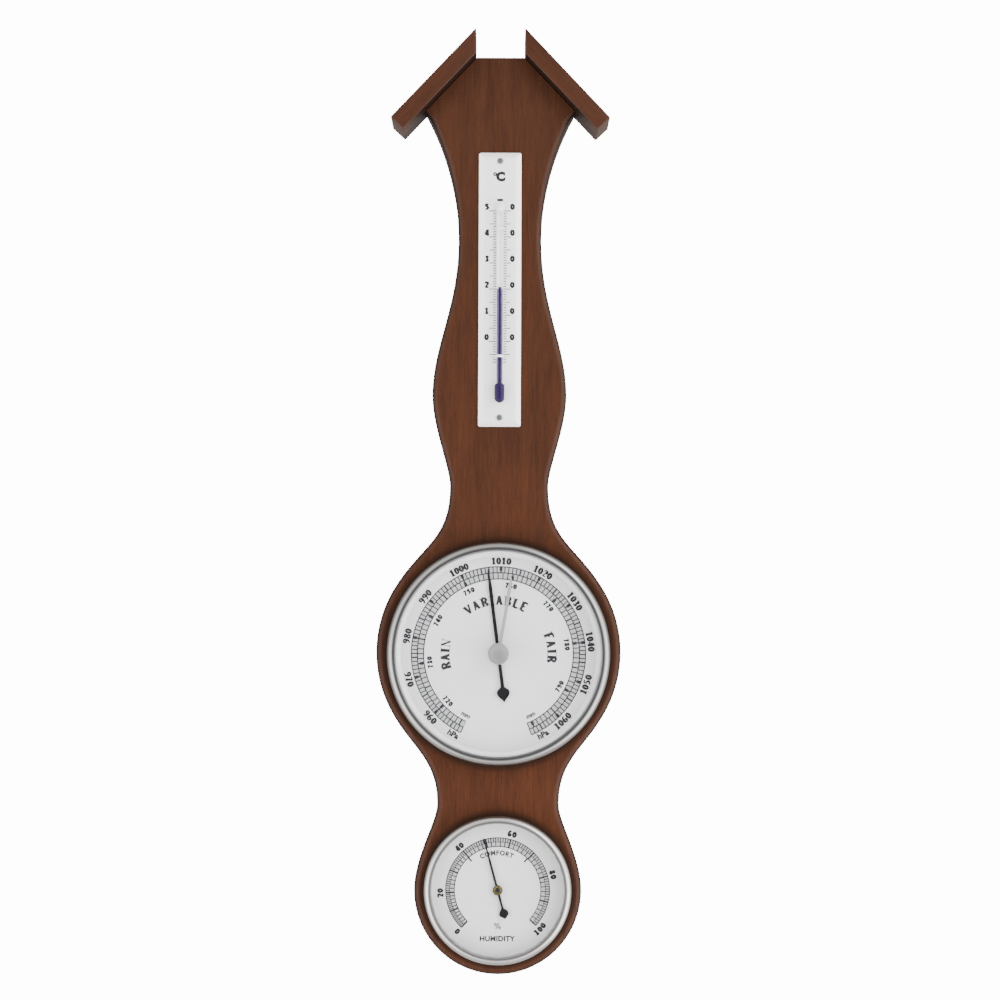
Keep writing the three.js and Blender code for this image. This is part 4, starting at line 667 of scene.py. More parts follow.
def spun_metal(name, axis, dark, light, metallic, smooth, rough, spacing=5000.0, strength=0.05, hollow_shade=None):
    """Metal worked on the lathe about an instrument's axis, grey with painted shade round one radius."""
    made, tree, shader = material(name, Metallic=metallic)
    where = node(tree, "ShaderNodeTexCoord")
    centred = node(tree, "ShaderNodeMapping", {
        "Vector": where.outputs["Object"], "Location": (0.0, 0.0, -(axis - hanger_height) * MM)})
    radius, reach, depth = hollow_shade or (1000.0, 1.0, 0.0)
    rings = put(tree, spun, {
        "Vector": centred.outputs[0], "Spacing": spacing, "Hollow": radius * MM, "Reach": reach * MM})
    colour = node(tree, "ShaderNodeMix", {
        "Factor": rings.outputs["Cloud"], "A": dark, "B": light}, data_type="RGBA")
    # painted shade in the hollow inside a bezel's roll, greying the metal towards tint(57, 68, 78)
    hollow_shading = node(tree, "ShaderNodeMath", {0: rings.outputs["Hollow Shade"], 1: depth}, operation="MULTIPLY")
    hollow_shaded = node(tree, "ShaderNodeMix", {
        "Factor": hollow_shading.outputs[0], "A": colour.outputs["Result"], "B": tint(57, 68, 78)}, data_type="RGBA")
    tree.links.new(hollow_shaded.outputs["Result"], shader.inputs["Base Color"])
    dulled = node(tree, "ShaderNodeMapRange", {
        "Value": rings.outputs["Rings"], "From Min": 0.3, "From Max": 0.7, "To Min": smooth, "To Max": rough})
    tree.links.new(dulled.outputs[0], shader.inputs["Roughness"])
    bump = node(tree, "ShaderNodeBump", {
        "Height": rings.outputs["Rings"], "Strength": strength, "Distance": 0.00005})
    tree.links.new(bump.outputs[0], shader.inputs["Normal"])
    return made


barometer_dial_radius, dial_thickness = 48.0, 0.6
barometer_dial_back = flange_back + barometer_wall + seat_gap
barometer_dial_front = barometer_dial_back + dial_thickness
dial_silver = spun_metal(
    "dial_silver", barometer_axis, tint(216, 216, 217), tint(222, 222, 223), 0.1, 0.38, 0.5)
piece("silvered_dial", *turned([
    (1.6, barometer_dial_back), (barometer_dial_radius, barometer_dial_back),
    (barometer_dial_radius, barometer_dial_front), (1.6, barometer_dial_front)], barometer_axis, 128),
    dial_silver, "dial_silver", stands_for=["barometer_dial"])

white_enamel, enamel_tree, enamel_shader = material("white_enamel", Roughness=0.35)
enamel_where = node(enamel_tree, "ShaderNodeTexCoord")
enamel_skin = put(enamel_tree, metal_skin, {"Vector": enamel_where.outputs["Object"], "Scale": 500.0})
enamel_colour = node(enamel_tree, "ShaderNodeMix", {
    "Factor": enamel_skin.outputs["Tone"], "A": tint(222, 223, 224), "B": tint(236, 236, 236)}, data_type="RGBA")
enamel_tree.links.new(enamel_colour.outputs["Result"], enamel_shader.inputs["Base Color"])
enamel_bump = node(enamel_tree, "ShaderNodeBump", {
    "Height": enamel_skin.outputs["Height"], "Strength": 0.04, "Distance": 0.0001})
enamel_tree.links.new(enamel_bump.outputs[0], enamel_shader.inputs["Normal"])
barometer_glass_back, barometer_opening = 24.3, 47.2
piece("cone_ring", *turned([
    (45.2, barometer_dial_front + seat_gap), (barometer_dial_radius, barometer_dial_front + seat_gap),
    (barometer_dial_radius, barometer_glass_back - seat_gap), (46.9, barometer_glass_back - seat_gap)],
    barometer_axis, 128), white_enamel, "white_lacquer", stands_for=["barometer_spacer_ring"])


# The barometer's scales: hectopascals outside and millimetres of mercury inside, with bold roman
# figures, and plain weather words between them, all printed in one black.
def printers_ink(name, dark, light):
    made, tree, shader = material(name, Roughness=0.55, Specular_IOR_Level=0.2)
    where = node(tree, "ShaderNodeTexCoord")
    skin = put(tree, metal_skin, {"Vector": where.outputs["Object"], "Scale": 1500.0})
    colour = node(tree, "ShaderNodeMix", {
        "Factor": skin.outputs["Tone"], "A": dark, "B": light}, data_type="RGBA")
    tree.links.new(colour.outputs["Result"], shader.inputs["Base Color"])
    return made


black_ink = printers_ink("black_ink", tint(20, 20, 24), tint(40, 40, 44))
grey_ink = printers_ink("grey_ink", tint(158, 158, 160), tint(172, 172, 174))
ink_lift, shade_lift = 0.03, 0.004


class Print:
    """Flat ink on a dial. Turns are in degrees, clockwise from the top."""

    def __init__(self, axis, depth, ink=black_ink, lift=ink_lift):
        self.axis, self.depth, self.ink = axis, depth + lift, ink
        self.points, self.faces = [], []

    def lay(self, shapes, where):
        # a few microns between strokes that cross, so that no two lie in one plane
        for shape in shapes:
            start, rise = len(self.points), 0.002 * (len(self.faces) % 11)
            self.points += [(x, height, depth + rise) for x, height, depth in (where(u, v) for u, v in shape)]
            self.faces.append(tuple(range(start, len(self.points))))

    def polar(self, radius, turn):
        angle = math.radians(turn)
        return (radius * math.sin(angle), self.axis + radius * math.cos(angle), self.depth)

    def band(self, inner, outer, start, end, step=2.0):
        count = max(1, math.ceil((end - start) / step))
        turns = [start + (end - start) * i / count for i in range(count + 1)]
        self.lay([[(inner, a), (inner, b), (outer, b), (outer, a)] for a, b in zip(turns, turns[1:])], self.polar)

    def tick(self, inner, outer, turn, width):
        angle = math.radians(turn)
        across, out = Vector((math.cos(angle), -math.sin(angle))), Vector((math.sin(angle), math.cos(angle)))
        corners = [out * inner - across * width / 2, out * inner + across * width / 2,
                   out * outer + across * width / 2, out * outer - across * width / 2]
        self.lay([[(c.x, c.y) for c in corners]], lambda x, z: (x, self.axis + z, self.depth))

    def curved(self, setting, turn, inner, outer, inward=False):
        """Sets shapes of width and height 0 to 1 between two radii, their tops outwards or inwards."""
        shapes, width = setting
        middle, scale = (inner + outer) / 2, outer - inner

        def where(u, v):
            share = (u - width / 2) * scale / middle * (-1 if inward else 1)
            radius = outer - v * scale if inward else inner + v * scale
            return self.polar(radius, turn + math.degrees(share))

        self.lay(shapes, where)

    def level(self, setting, x, low, height):
        shapes, width = setting
        self.lay(shapes, lambda u, v: (x + (u - width / 2) * height, low + v * height, self.depth))

    def pull(self, name, body="root"):
        return piece(name, self.points, self.faces, self.ink, "black_lacquer", body=body, loose=True)


def pen(*stops, smooth=False):
    """A stroke of changing width through stops of x, y and width, as one four-sided shape a stretch."""
    if smooth:
        padded = [stops[0], *stops, stops[-1]]
        eased = []
        for a, b, c, d in zip(padded, padded[1:], padded[2:], padded[3:]):
            for i in range(6):
                t = i / 6
                eased.append([
                    0.5 * (2 * q + (r - p) * t + (2 * p - 5 * q + 4 * r - s) * t * t + (3 * q - p - 3 * r + s) * t ** 3)
                    for p, q, r, s in zip(a, b, c, d)])
        stops = [*eased, stops[-1]]
    sides = []
    for i, (x, y, width) in enumerate(stops):
        before, after = stops[max(i - 1, 0)], stops[min(i + 1, len(stops) - 1)]
        run = Vector((after[0] - before[0], after[1] - before[1])).normalized()
        sides.append(((x + run.y * width / 2, y - run.x * width / 2), (x - run.y * width / 2, y + run.x * width / 2)))
    return [[a[0], b[0], b[1], a[1]] for a, b in zip(sides, sides[1:])]


def bowl(x, y, half_width, half_height, thick, thin):
    """A closed round of a letter, thick at its sides and thin at top and bottom."""
    stops = []
    for i in range(25):
        turn = math.tau * (i + 6) / 24
        stops.append((
            x + half_width * math.cos(turn), y + half_height * math.sin(turn),
            thin + (thick - thin) * abs(math.cos(turn)) ** 1.3))
    return pen(*stops)


def cut_figures(bold, fine):
    """Figures 0.62 wide and 1 high, with thick strokes of one width and thin ones of another."""
    middling, bar = max(0.15, fine), max(0.18, fine)
    made = {
        "0": bowl(0.31, 0.5, 0.2, 0.5 - fine / 2, bold, fine),
        "1": pen((0.33, 0, bold), (0.33, 1, bold)) + pen((0.08, fine / 2, fine), (0.58, fine / 2, fine))
            + pen((0.08, 0.76, fine), (0.3, 0.92, fine)),
        "2": pen((0.11, 0.7, middling), (0.16, 0.88, middling), (0.31, 1 - fine / 2, fine), (0.48, 0.86, bold * 0.8),
                 (0.48, 0.66, bold), (0.3, 0.4, middling), (0.12, 0.14, fine), smooth=True)
            + pen((0.05, bar / 2, bar), (0.57, bar / 2, bar)),
        "3": pen((0.1, 0.8, middling), (0.28, 1 - fine / 2, fine), (0.45, 0.77, bold), (0.22, 0.54, fine), smooth=True)
            + pen((0.22, 0.54, fine), (0.47, 0.28, bold), (0.28, fine / 2, fine), (0.09, 0.2, middling), smooth=True),
        "4": pen((0.44, 0, bold), (0.44, 1, bold)) + pen((0.38, 0.98, fine), (0.06, 0.3, fine))
            + pen((0.02, 0.27, fine), (0.64, 0.27, fine)),
        "5": pen((0.12, 1 - bar / 2, bar), (0.54, 1 - bar / 2, bar)) + pen((0.14, 0.95, fine), (0.12, 0.5, fine))
            + pen((0.1, 0.52, fine), (0.3, 0.6, fine), (0.47, 0.32, bold), (0.28, fine / 2, fine),
                  (0.08, 0.16, middling), smooth=True),
        "6": bowl(0.31, 0.3, 0.19, 0.3 - fine / 2, bold * 0.9, fine)
            + pen((0.13, 0.3, bold * 0.9), (0.15, 0.6, bold * 0.9), (0.3, 1 - fine / 2, fine), (0.5, 0.85, middling),
                  smooth=True),
        "7": pen((0.05, 1 - bar / 2, bar), (0.58, 1 - bar / 2, bar)) + pen((0.5, 0.88, bold * 0.7), (0.32, 0.45, bold * 0.9), (0.24, 0, bold)),
        "8": bowl(0.31, 0.75, 0.165, 0.25 - fine / 2, bold * 0.85, fine)
            + bowl(0.31, 0.28, 0.2, 0.28 - fine / 2, bold * 0.9, fine),
    }
    made["9"] = [[(0.62 - x, 1 - y) for x, y in shape] for shape in made["6"]]
    return made


stem, hair, cut_off = 0.33, 0.23, 0.12


def upright(x, width=stem, foot=True, head=True):
    serifs = [pen((x - cut_off - width / 2, y, 0.08), (x + cut_off + width / 2, y, 0.08))
              for y, wanted in ((0.022, foot), (0.978, head)) if wanted]
    return [shape for part in [pen((x, 0, width), (x, 1, width)), *serifs] for shape in part]


def half_bowl(x, low, high, reach, thick):
    middle = (low + high) / 2
    return pen((x, high, hair), (x + reach * 0.45, high, hair), (x + reach * 0.9, middle + (high - low) * 0.3, thick * 0.8),
               (x + reach, middle, thick), (x + reach * 0.9, middle - (high - low) * 0.3, thick * 0.8),
               (x + reach * 0.45, low, hair), (x, low, hair), smooth=True)


capitals = {
    "I": (0.5, upright(0.25)),
    "L": (0.72, upright(0.22) + pen((0.22, 0.025, hair), (0.7, 0.025, hair)) + pen((0.68, 0, 0.04), (0.68, 0.27, 0.02))),
    "E": (0.76, upright(0.22) + pen((0.22, 0.025, hair), (0.7, 0.025, hair)) + pen((0.22, 0.975, hair), (0.68, 0.975, hair))
          + pen((0.22, 0.52, hair), (0.52, 0.52, hair)) + pen((0.69, 0, 0.04), (0.69, 0.26, 0.02))
          + pen((0.67, 0.76, 0.02), (0.67, 1, 0.04)) + pen((0.52, 0.42, 0.03), (0.52, 0.62, 0.03))),
    "F": (0.7, upright(0.22) + pen((0.22, 0.975, hair), (0.66, 0.975, hair)) + pen((0.22, 0.5, hair), (0.5, 0.5, hair))
          + pen((0.65, 0.74, 0.02), (0.65, 1, 0.04)) + pen((0.5, 0.4, 0.03), (0.5, 0.6, 0.03))),
    "N": (0.92, upright(0.18, 0.06) + upright(0.74, 0.06, foot=False) + pen((0.16, 1, 0.2), (0.76, 0, 0.2))),
    "V": (0.8, pen((0.14, 1, stem), (0.42, 0, stem * 0.8)) + pen((0.67, 1, hair), (0.44, 0, hair))
          + pen((0, 0.978, 0.08), (0.32, 0.978, 0.08)) + pen((0.52, 0.978, 0.08), (0.8, 0.978, 0.08))),
    "A": (0.8, pen((0.13, 0, hair), (0.37, 1, hair)) + pen((0.38, 1, stem * 0.8), (0.66, 0, stem))
          + pen((0.22, 0.32, hair), (0.58, 0.32, hair)) + pen((0, 0.022, 0.08), (0.27, 0.022, 0.08))
          + pen((0.5, 0.022, 0.08), (0.82, 0.022, 0.08))),
    "R": (0.82, upright(0.22) + half_bowl(0.22, 0.5, 0.975, 0.4, stem)
          + pen((0.42, 0.5, 0.1), (0.58, 0.3, stem), (0.76, 0.02, stem), smooth=True)),
    "B": (0.76, upright(0.22) + half_bowl(0.22, 0.53, 0.975, 0.36, stem) + half_bowl(0.22, 0.025, 0.53, 0.42, stem)),
}


def set_figures(text, figures, pitch=0.68):
    shapes = [[(x + pitch * i, y) for x, y in shape] for i, sign in enumerate(text) for shape in figures[sign]]
    return shapes, pitch * len(text) - (pitch - 0.62)


def set_capitals(text, gap=0.12):
    shapes, width = [], 0.0
    for sign in text:
        advance, parts = capitals[sign]
        shapes += [[(x + width, y) for x, y in shape] for shape in parts]
        width += advance + gap
    return shapes, width - gap


def set_plain(text, weight=0.0, spacing=1.0):
    """Sets a few words in Blender's own plain type, in heights of a capital."""
    cap_height = 0.7
    curve = bpy.data.curves.new("type", "FONT")
    curve.body, curve.size, curve.offset, curve.resolution_u = text, 1.0, weight, 3
    curve.space_character = spacing
    holder = bpy.data.objects.new("type", curve)
    bpy.context.scene.collection.objects.link(holder)
    flat = bpy.data.meshes.new_from_object(holder.evaluated_get(bpy.context.evaluated_depsgraph_get()))
    left, right = min(v.co.x for v in flat.vertices), max(v.co.x for v in flat.vertices)
    shapes = []
    for face in flat.polygons:
        corners = [flat.vertices[i].co for i in face.vertices]
        if face.normal.z < 0:
            corners.reverse()
        shapes.append([((c.x - left) / cap_height, c.y / cap_height) for c in corners])
    bpy.data.objects.remove(holder)
    bpy.data.curves.remove(curve)
    bpy.data.meshes.remove(flat)
    return shapes, (right - left) / cap_height


def hectopascal(value):
    return 1.5 + 2.69 * (value - 1010)


def mercury(value):
    return 10.3 + 3.585 * (value - 760)


large_figures, small_figures = cut_figures(0.35, 0.19), cut_figures(0.35, 0.29)
scales = Print(barometer_axis, barometer_dial_front)
outer_line, middle_line, inner_line, line_width = 40.3, 37.5, 34.6, 0.5
first_turn, last_turn = hectopascal(952), hectopascal(1068)
shade = Print(barometer_axis, barometer_dial_front, grey_ink, shade_lift)
shade.band(inner_line, outer_line, first_turn, last_turn)
shade.pull("barometer_shade")
for radius in (outer_line, middle_line, inner_line):
    scales.band(radius - line_width / 2, radius + line_width / 2, first_turn, last_turn)
for value in range(952, 1069):
    ten, five = value % 10 == 0, value % 5 == 0
    scales.tick(middle_line, outer_line, hectopascal(value), 0.7 if five else 0.5)
    if ten:
        scales.tick(outer_line - 1.9, outer_line, hectopascal(value), 1.4)
for value in range(715, 802):
    ten, five = value % 10 == 0, value % 5 == 0
    if first_turn <= mercury(value) <= last_turn:
        scales.tick(inner_line, middle_line, mercury(value), 0.7 if five else 0.5)
        if ten:
            scales.tick(inner_line, inner_line + 1.9, mercury(value), 1.4)
for turn in (first_turn, last_turn):
    scales.tick(inner_line, outer_line, turn, 0.25)
for value in range(960, 1061, 10):
    scales.curved(set_figures(str(value), large_figures, 0.72), hectopascal(value), 41.3, 44.6,
                  inward=value in (960, 970, 1050, 1060))
for value in range(720, 791, 10):
    scales.curved(set_figures(str(value), small_figures, 0.76), mercury(value), 30.7, 33.2, inward=value in (720, 790))
for turn, radius, unit, height in [(-150.8, 42.4, "hPa", 2.6), (150.8, 42.4, "hPa", 2.6),
                                   (-152, 31.8, "mm", 2.0), (152, 31.8, "mm", 2.0)]:
    scales.curved(set_plain(unit, 0.05), turn, radius - height / 2, radius + height / 2, inward=True)
for turn, word, spacing in [(-90.5, "RAIN", 0.14), (-3.5, "VARIABLE", 0.2), (83, "FAIR", 0.2)]:
    scales.curved(set_capitals(word, spacing), turn, 22.7, 26.8)
scales.pull("barometer_print")


# The barometer's pointer: blued-black sheet, a fine tapering blade with a spade-shaped tail,
# pressed on the arbor that turns with the movement.
black_lacquer, black_tree, black_shader = material("black_lacquer", Specular_IOR_Level=0.08)
black_where = node(black_tree, "ShaderNodeTexCoord")
black_skin = put(black_tree, metal_skin, {"Vector": black_where.outputs["Object"], "Scale": 1800.0})
black_colour = node(black_tree, "ShaderNodeMix", {
    "Factor": black_skin.outputs["Tone"], "A": tint(10, 10, 12), "B": tint(24, 24, 27)}, data_type="RGBA")
black_tree.links.new(black_colour.outputs["Result"], black_shader.inputs["Base Color"])
black_rough = node(black_tree, "ShaderNodeMapRange", {
    "Value": black_skin.outputs["Tone"], "To Min": 0.45, "To Max": 0.3})
black_tree.links.new(black_rough.outputs[0], black_shader.inputs["Roughness"])


def blade(name, outline, hole, hub, axis, reading, back, front, material_of, slot, body, stands_for):
    """A stamped pointer: its outline is drawn upright, and the arrises of its boss are broken on both faces."""
    cosine, sine = math.cos(math.radians(reading)), math.sin(math.radians(reading))
    turned_outline = [(x * cosine + z * sine, axis - x * sine + z * cosine) for x, z in outline]
    hub_back, hub_front = back - 0.02, front + 0.06
    arm = Shell()
    low, high = arm.loop(turned_outline, back), arm.loop(turned_outline, front)
    arm.wall(low, high)
    arm.cap(low)
    arm.cap(high)
    boss = turned([(hole, hub_back), (hub - 0.15, hub_back), (hub, hub_back + 0.15), (hub, hub_front - 0.15),
                   (hub - 0.15, hub_front), (hole, hub_front)], axis, 48)
    start = len(arm.points)
    points = arm.points + boss[0]
    faces = arm.faces + [tuple(i + start for i in face) for face in boss[1]]
    return piece(name, points, faces, material_of, slot, body=body, stands_for=stands_for, crease=30)


def pointer_outline(tip, taper, tail, spade_start, spade_wide, spade_half, half):
    """A tapering blade above the axis and a spade below it."""
    shoulder = swoop((half, -spade_start), (0.6, -0.8), 0.5, (spade_half, -spade_wide), (0.2, -1.0), 0.4, 6)
    point = swoop((spade_half, -spade_wide), (0.2, -1.0), 0.35, (0.0, -tail), (-0.35, -1.0), 0.3, 10)
    right = [(0.2, tip), (half, tip - taper), (half, -spade_start)] + [(p.x, p.y) for p in shoulder[1:] + point[1:]]
    return right + [(-x, z) for x, z in reversed(right[:-1])]


pointer_back, pointer_front = 21.0, 21.5
blade("blued_pointer", pointer_outline(39.4, 8.0, 22.7, 15.3, 17.6, 2.9, 0.82), 0.75, 2.8, barometer_axis, -7.2,
      pointer_back, pointer_front, black_lacquer, "black_lacquer", "pointer", ["barometer_pointer"])


# The set hand: a silvered reminder hand under the glass, riveted to the stem of a turned knob in
# front of it. A brass washer between hand and glass keeps the pair where they are left.
hand_silver = spun_metal(
    "hand_silver", barometer_axis, tint(146, 146, 147), tint(162, 162, 163), 0.6, 0.34, 0.48, spacing=9000.0)
blade("set_hand_blade", [(0.75, 0.0), (0.75, 33.0), (0.0, 36.0), (-0.75, 33.0), (-0.75, 0.0)], 1.65, 3.5, barometer_axis,
      9.5, 22.4, 22.9, hand_silver, "bezel_silver", "set_hand", ["set_hand"])
dress(brass, ["set_hand_washer"])
knob_back, knob_front, knob_radius, knurl, knob_steps = 26.6, 32.2, 5.05, 0.12, 96
knob_silver = spun_metal(
    "knob_silver", barometer_axis, tint(112, 112, 114), tint(156, 156, 157), 0.6, 0.34, 0.5, spacing=2600.0)
knob_points, knob_faces = turned(
    [(0, 22.1), (1.5, 22.1), (1.5, knob_back), (4.3, knob_back)]
    + arris(knob_radius - 0.7, knob_back + 0.7, 0.7, -90, 0, 5)[1:]
    + arris(knob_radius - 0.7, knob_front - 0.7, 0.7, 0, 90, 6)
    + [(3.9, knob_front), (3.5, knob_front - 0.18), (0, knob_front - 0.18)], barometer_axis, knob_steps)
knurled = []
for x, height, depth in knob_points:
    turn = math.atan2(x, height - barometer_axis)
    radius = math.hypot(x, height - barometer_axis)
    groove = knurl if radius > knob_radius - 0.1 and round(turn / math.tau * knob_steps) % 2 else 0.0
    knurled.append((x * (1 - groove / max(radius, 1)), barometer_axis + (height - barometer_axis) * (1 - groove / max(radius, 1)), depth))
piece("turned_knob", knurled, knob_faces, knob_silver, "bezel_silver", body="set_hand", stands_for=["set_knob"],
      crease=25)


# The glasses: flat discs of clear sheet glass held between spacer and bezel. The barometer's is
# drilled for the set hand's knob.
def clear_glass(name):
    made, tree, shader = material(
        name, Base_Color=(1.0, 1.0, 1.0, 1.0), Roughness=0.0, IOR=1.45, Transmission_Weight=1.0, Metallic=0.0)
    where = node(tree, "ShaderNodeTexCoord")
    ripple = node(tree, "ShaderNodeTexNoise", {"Vector": where.outputs["Object"], "Scale": 25.0, "Detail": 1.0})
    bump = node(tree, "ShaderNodeBump", {"Height": ripple.outputs["Fac"], "Strength": 0.02, "Distance": 0.0002})
    tree.links.new(bump.outputs[0], shader.inputs["Normal"])
    path = node(tree, "ShaderNodeLightPath")
    clear = node(tree, "ShaderNodeBsdfTransparent", {"Color": (0.97, 0.98, 0.98, 1.0)})
    through = node(tree, "ShaderNodeMixShader", {
        0: path.outputs["Is Shadow Ray"], 1: shader.outputs[0], 2: clear.outputs[0]})
    tree.links.new(through.outputs[0], tree.nodes["Material Output"].inputs["Surface"])
    return made


glass = clear_glass("clear_glass")
glass_front = barometer_glass_back + 2.0
piece("barometer_pane", *turned([
    (1.8, barometer_glass_back), (barometer_dial_radius, barometer_glass_back), (barometer_dial_radius, glass_front),
    (1.8, glass_front)], barometer_axis, 128), glass, "glass", stands_for=["barometer_glass"])


# The bezels: rings spun from sheet and plated in satin silver. Each drops over its case's rim, turns
# in over the glass in a round roll and ends in a thin lip.
def bezel(name, axis, outer, opening, flange, glass_radius, lip_back, lip, roll, wall, tone, hollow_shade, stands_for):
    front = lip_back + lip
    over_flange = flange_back + wall + seat_gap
    inner_end = math.degrees(math.acos((opening + 0.08 - outer + roll) / roll))
    # the hollow shade is painted shade round the hollow between the roll and the glass
    silver = spun_metal(
        f"{name}_silver", axis, tint(tone, tone - 2, tone - 4), tint(tone + 14, tone + 12, tone + 10), 1.0, 0.24, 0.36,
        spacing=4000.0, hollow_shade=hollow_shade)
    points, faces = turned(
        [(flange + seat_gap, flange_back), (outer, flange_back)]
        + arris(outer - roll, front - roll, roll, 0, inner_end, 18)
        + [(opening + 0.08, lip_back + 0.55), (opening, lip_back + 0.42), (opening, lip_back),
           (glass_radius + seat_gap, lip_back), (glass_radius + seat_gap, over_flange), (flange + seat_gap, over_flange)],
        axis, 160)
    return piece(name, points, faces, silver, "bezel_silver", stands_for=stands_for, crease=28)


bezel("barometer_rim", barometer_axis, 51.5, barometer_opening, 50.0, barometer_dial_radius, 26.6, 1.6, 3.0,
      barometer_wall, 136, (47.9, 1.9, 0.5), ["barometer_bezel"])


# The hygrometer: the same make in small, its case vented at the back so that the room's air reaches
# the coil, which is wound on a collar on the pointer's arbor.
hygrometer_wall, hygrometer_case_floor, hygrometer_dial_radius = 0.8, 5.0, 31.2
instrument_case(
    "hygrometer_cup", hygrometer_axis, hygrometer_bore, hygrometer_wall, hygrometer_case_floor, 32.0,
    [(20 * math.cos(math.radians(turn)), 20 * math.sin(math.radians(turn)), 2.5) for turn in (45, 135, 225, 315)],
    ["hygrometer_case"])
dress(brass, ["humidity_coil", "coil_collar", "hygrometer_bush"])
dress(tin, ["coil_bracket", "hygrometer_spacer_ring"])
hygrometer_dial_back = flange_back + hygrometer_wall + seat_gap
hygrometer_dial_front = hygrometer_dial_back + dial_thickness
hygrometer_silver = spun_metal(
    "hygrometer_dial_silver", hygrometer_axis, tint(214, 214, 215), tint(222, 222, 223), 0.1, 0.38, 0.5)
piece("hygrometer_disc", *turned([
    (2.05, hygrometer_dial_back), (hygrometer_dial_radius, hygrometer_dial_back),
    (hygrometer_dial_radius, hygrometer_dial_front), (2.05, hygrometer_dial_front)], hygrometer_axis, 96),
    hygrometer_silver, "dial_silver", stands_for=["hygrometer_dial"])


# The hygrometer's scale: relative humidity in per cent on a hatched band, its comfortable middle
# marked off by two long lines.
humidity_marks = [(0, -135.8), (20, -93.1), (40, -41.9), (60, 14.5), (80, 74.3), (100, 132.3)]


def humidity(value):
    for (low, start), (high, end) in zip(humidity_marks, humidity_marks[1:]):
        if value <= high:
            return start + (end - start) * (value - low) / (high - low)


percent = Print(hygrometer_axis, hygrometer_dial_front)
band_inner, band_outer = 19.9, 23.9
shade = Print(hygrometer_axis, hygrometer_dial_front, grey_ink, shade_lift)
shade.band(band_inner, band_outer, humidity(0), humidity(100))
shade.pull("hygrometer_shade")
for radius, width in ((band_inner, 0.42), (band_outer, 0.42), (22.0, 0.3)):
    percent.band(radius - width / 2, radius + width / 2, humidity(0), humidity(100))
for value in range(0, 101):
    inner = band_inner if value % 2 == 0 else 22.0
    percent.tick(inner, band_outer, humidity(value), 0.75 if value % 10 == 0 else 0.46)
for turn in (-42.5, 43.5):
    percent.tick(17.6, band_inner, turn, 0.75)
for value, turn in humidity_marks:
    percent.curved(set_figures(str(value), small_figures, 0.76), turn, 24.95, 27.85, inward=value == 100)
percent.curved(set_plain("COMFORT", 0.045, 1.16), -1.5, 16.0, 18.1)
per_cent_sign = bowl(0.2, 0.74, 0.15, 0.18, 0.16, 0.16) + bowl(0.86, 0.26, 0.15, 0.18, 0.16, 0.16) + pen(
    (0.24, 0, 0.17), (0.82, 1, 0.17))
percent.level((per_cent_sign, 1.06), 0.0, hygrometer_axis - 17.8, 2.8)
percent.level(set_plain("HUMIDITY", 0.045, 1.06), 0.0, hygrometer_axis - 23.3, 2.3)
percent.pull("hygrometer_print")


# The hygrometer's pointer rides on a brass collet on the coil's arbor, under its own pane and bezel.
blade("hygrometer_blade", pointer_outline(24.7, 12.0, 13.8, 8.6, 11.0, 2.2, 0.54), 1.6, 2.25, hygrometer_axis, -15.3,
      20.8, 21.3, black_lacquer, "black_lacquer", "hygrometer_pointer", ["hygrometer_pointer"])
old_brass = bare_metal("old_brass", tint(70, 63, 42), tint(110, 99, 66), 0.3, 0.48)
dark_steel = bare_metal("dark_steel", tint(52, 54, 56), tint(82, 84, 88), 0.3, 0.45)
dress(dark_steel, ["hygrometer_arbor"])
collet_profile = [(0.9, 20.5), (1.45, 20.5), (1.45, 21.45), (2.15, 21.45), (2.35, 21.6)] + arris(
    1.95, 21.75, 0.4, 0, 90, 5) + [(1.7, 22.15), (1.05, 21.75), (0.9, 21.75)]
piece("brass_collet", *turned(collet_profile, hygrometer_axis, 48), old_brass, "brass", body="hygrometer_pointer",
      stands_for=["hygrometer_collet"])
piece("hygrometer_pane", *turned([
    (0, 23.7), (hygrometer_dial_radius, 23.7), (hygrometer_dial_radius, 25.2), (0, 25.2)], hygrometer_axis, 96),
    glass, "glass", stands_for=["hygrometer_glass"])
bezel("hygrometer_rim", hygrometer_axis, 33.9, 30.6, 32.0, hygrometer_dial_radius, 25.5, 1.4, 2.6,
      hygrometer_wall, 170, (30.85, 0.9, 0.2), ["hygrometer_bezel"])


# The thermometer's plate: a strip of white-lacquered metal with bevelled edges, nailed to the board
# at both ends, its Celsius scale printed on either side of the tube.
plate_height, plate_width, plate_length, plate_thickness = 169.05, 19.8, 128.7, 1.6
plate_bevel, plate_edge, plate_corner = 2.6, 0.45, 0.9
plate_back = board_thickness + seat_gap
plate_front = plate_back + plate_thickness
plate_paint, plate_tree, plate_shader = material(
    "plate_lacquer", Coat_Weight=0.1, Coat_Roughness=0.25)
plate_where = node(plate_tree, "ShaderNodeTexCoord")
plate_skin = put(plate_tree, metal_skin, {
    "Vector": plate_where.outputs["Object"], "Scale": 700.0, "Scratch": (1.0, 1.0, 0.08)})
plate_colour = node(plate_tree, "ShaderNodeMix", {
    "Factor": plate_skin.outputs["Tone"], "A": tint(232, 231, 231), "B": tint(239, 238, 238)}, data_type="RGBA")
plate_facing = node(plate_tree, "ShaderNodeSeparateXYZ", {0: plate_where.outputs["Normal"]})
plate_lit_colour = plate_colour.outputs["Result"]
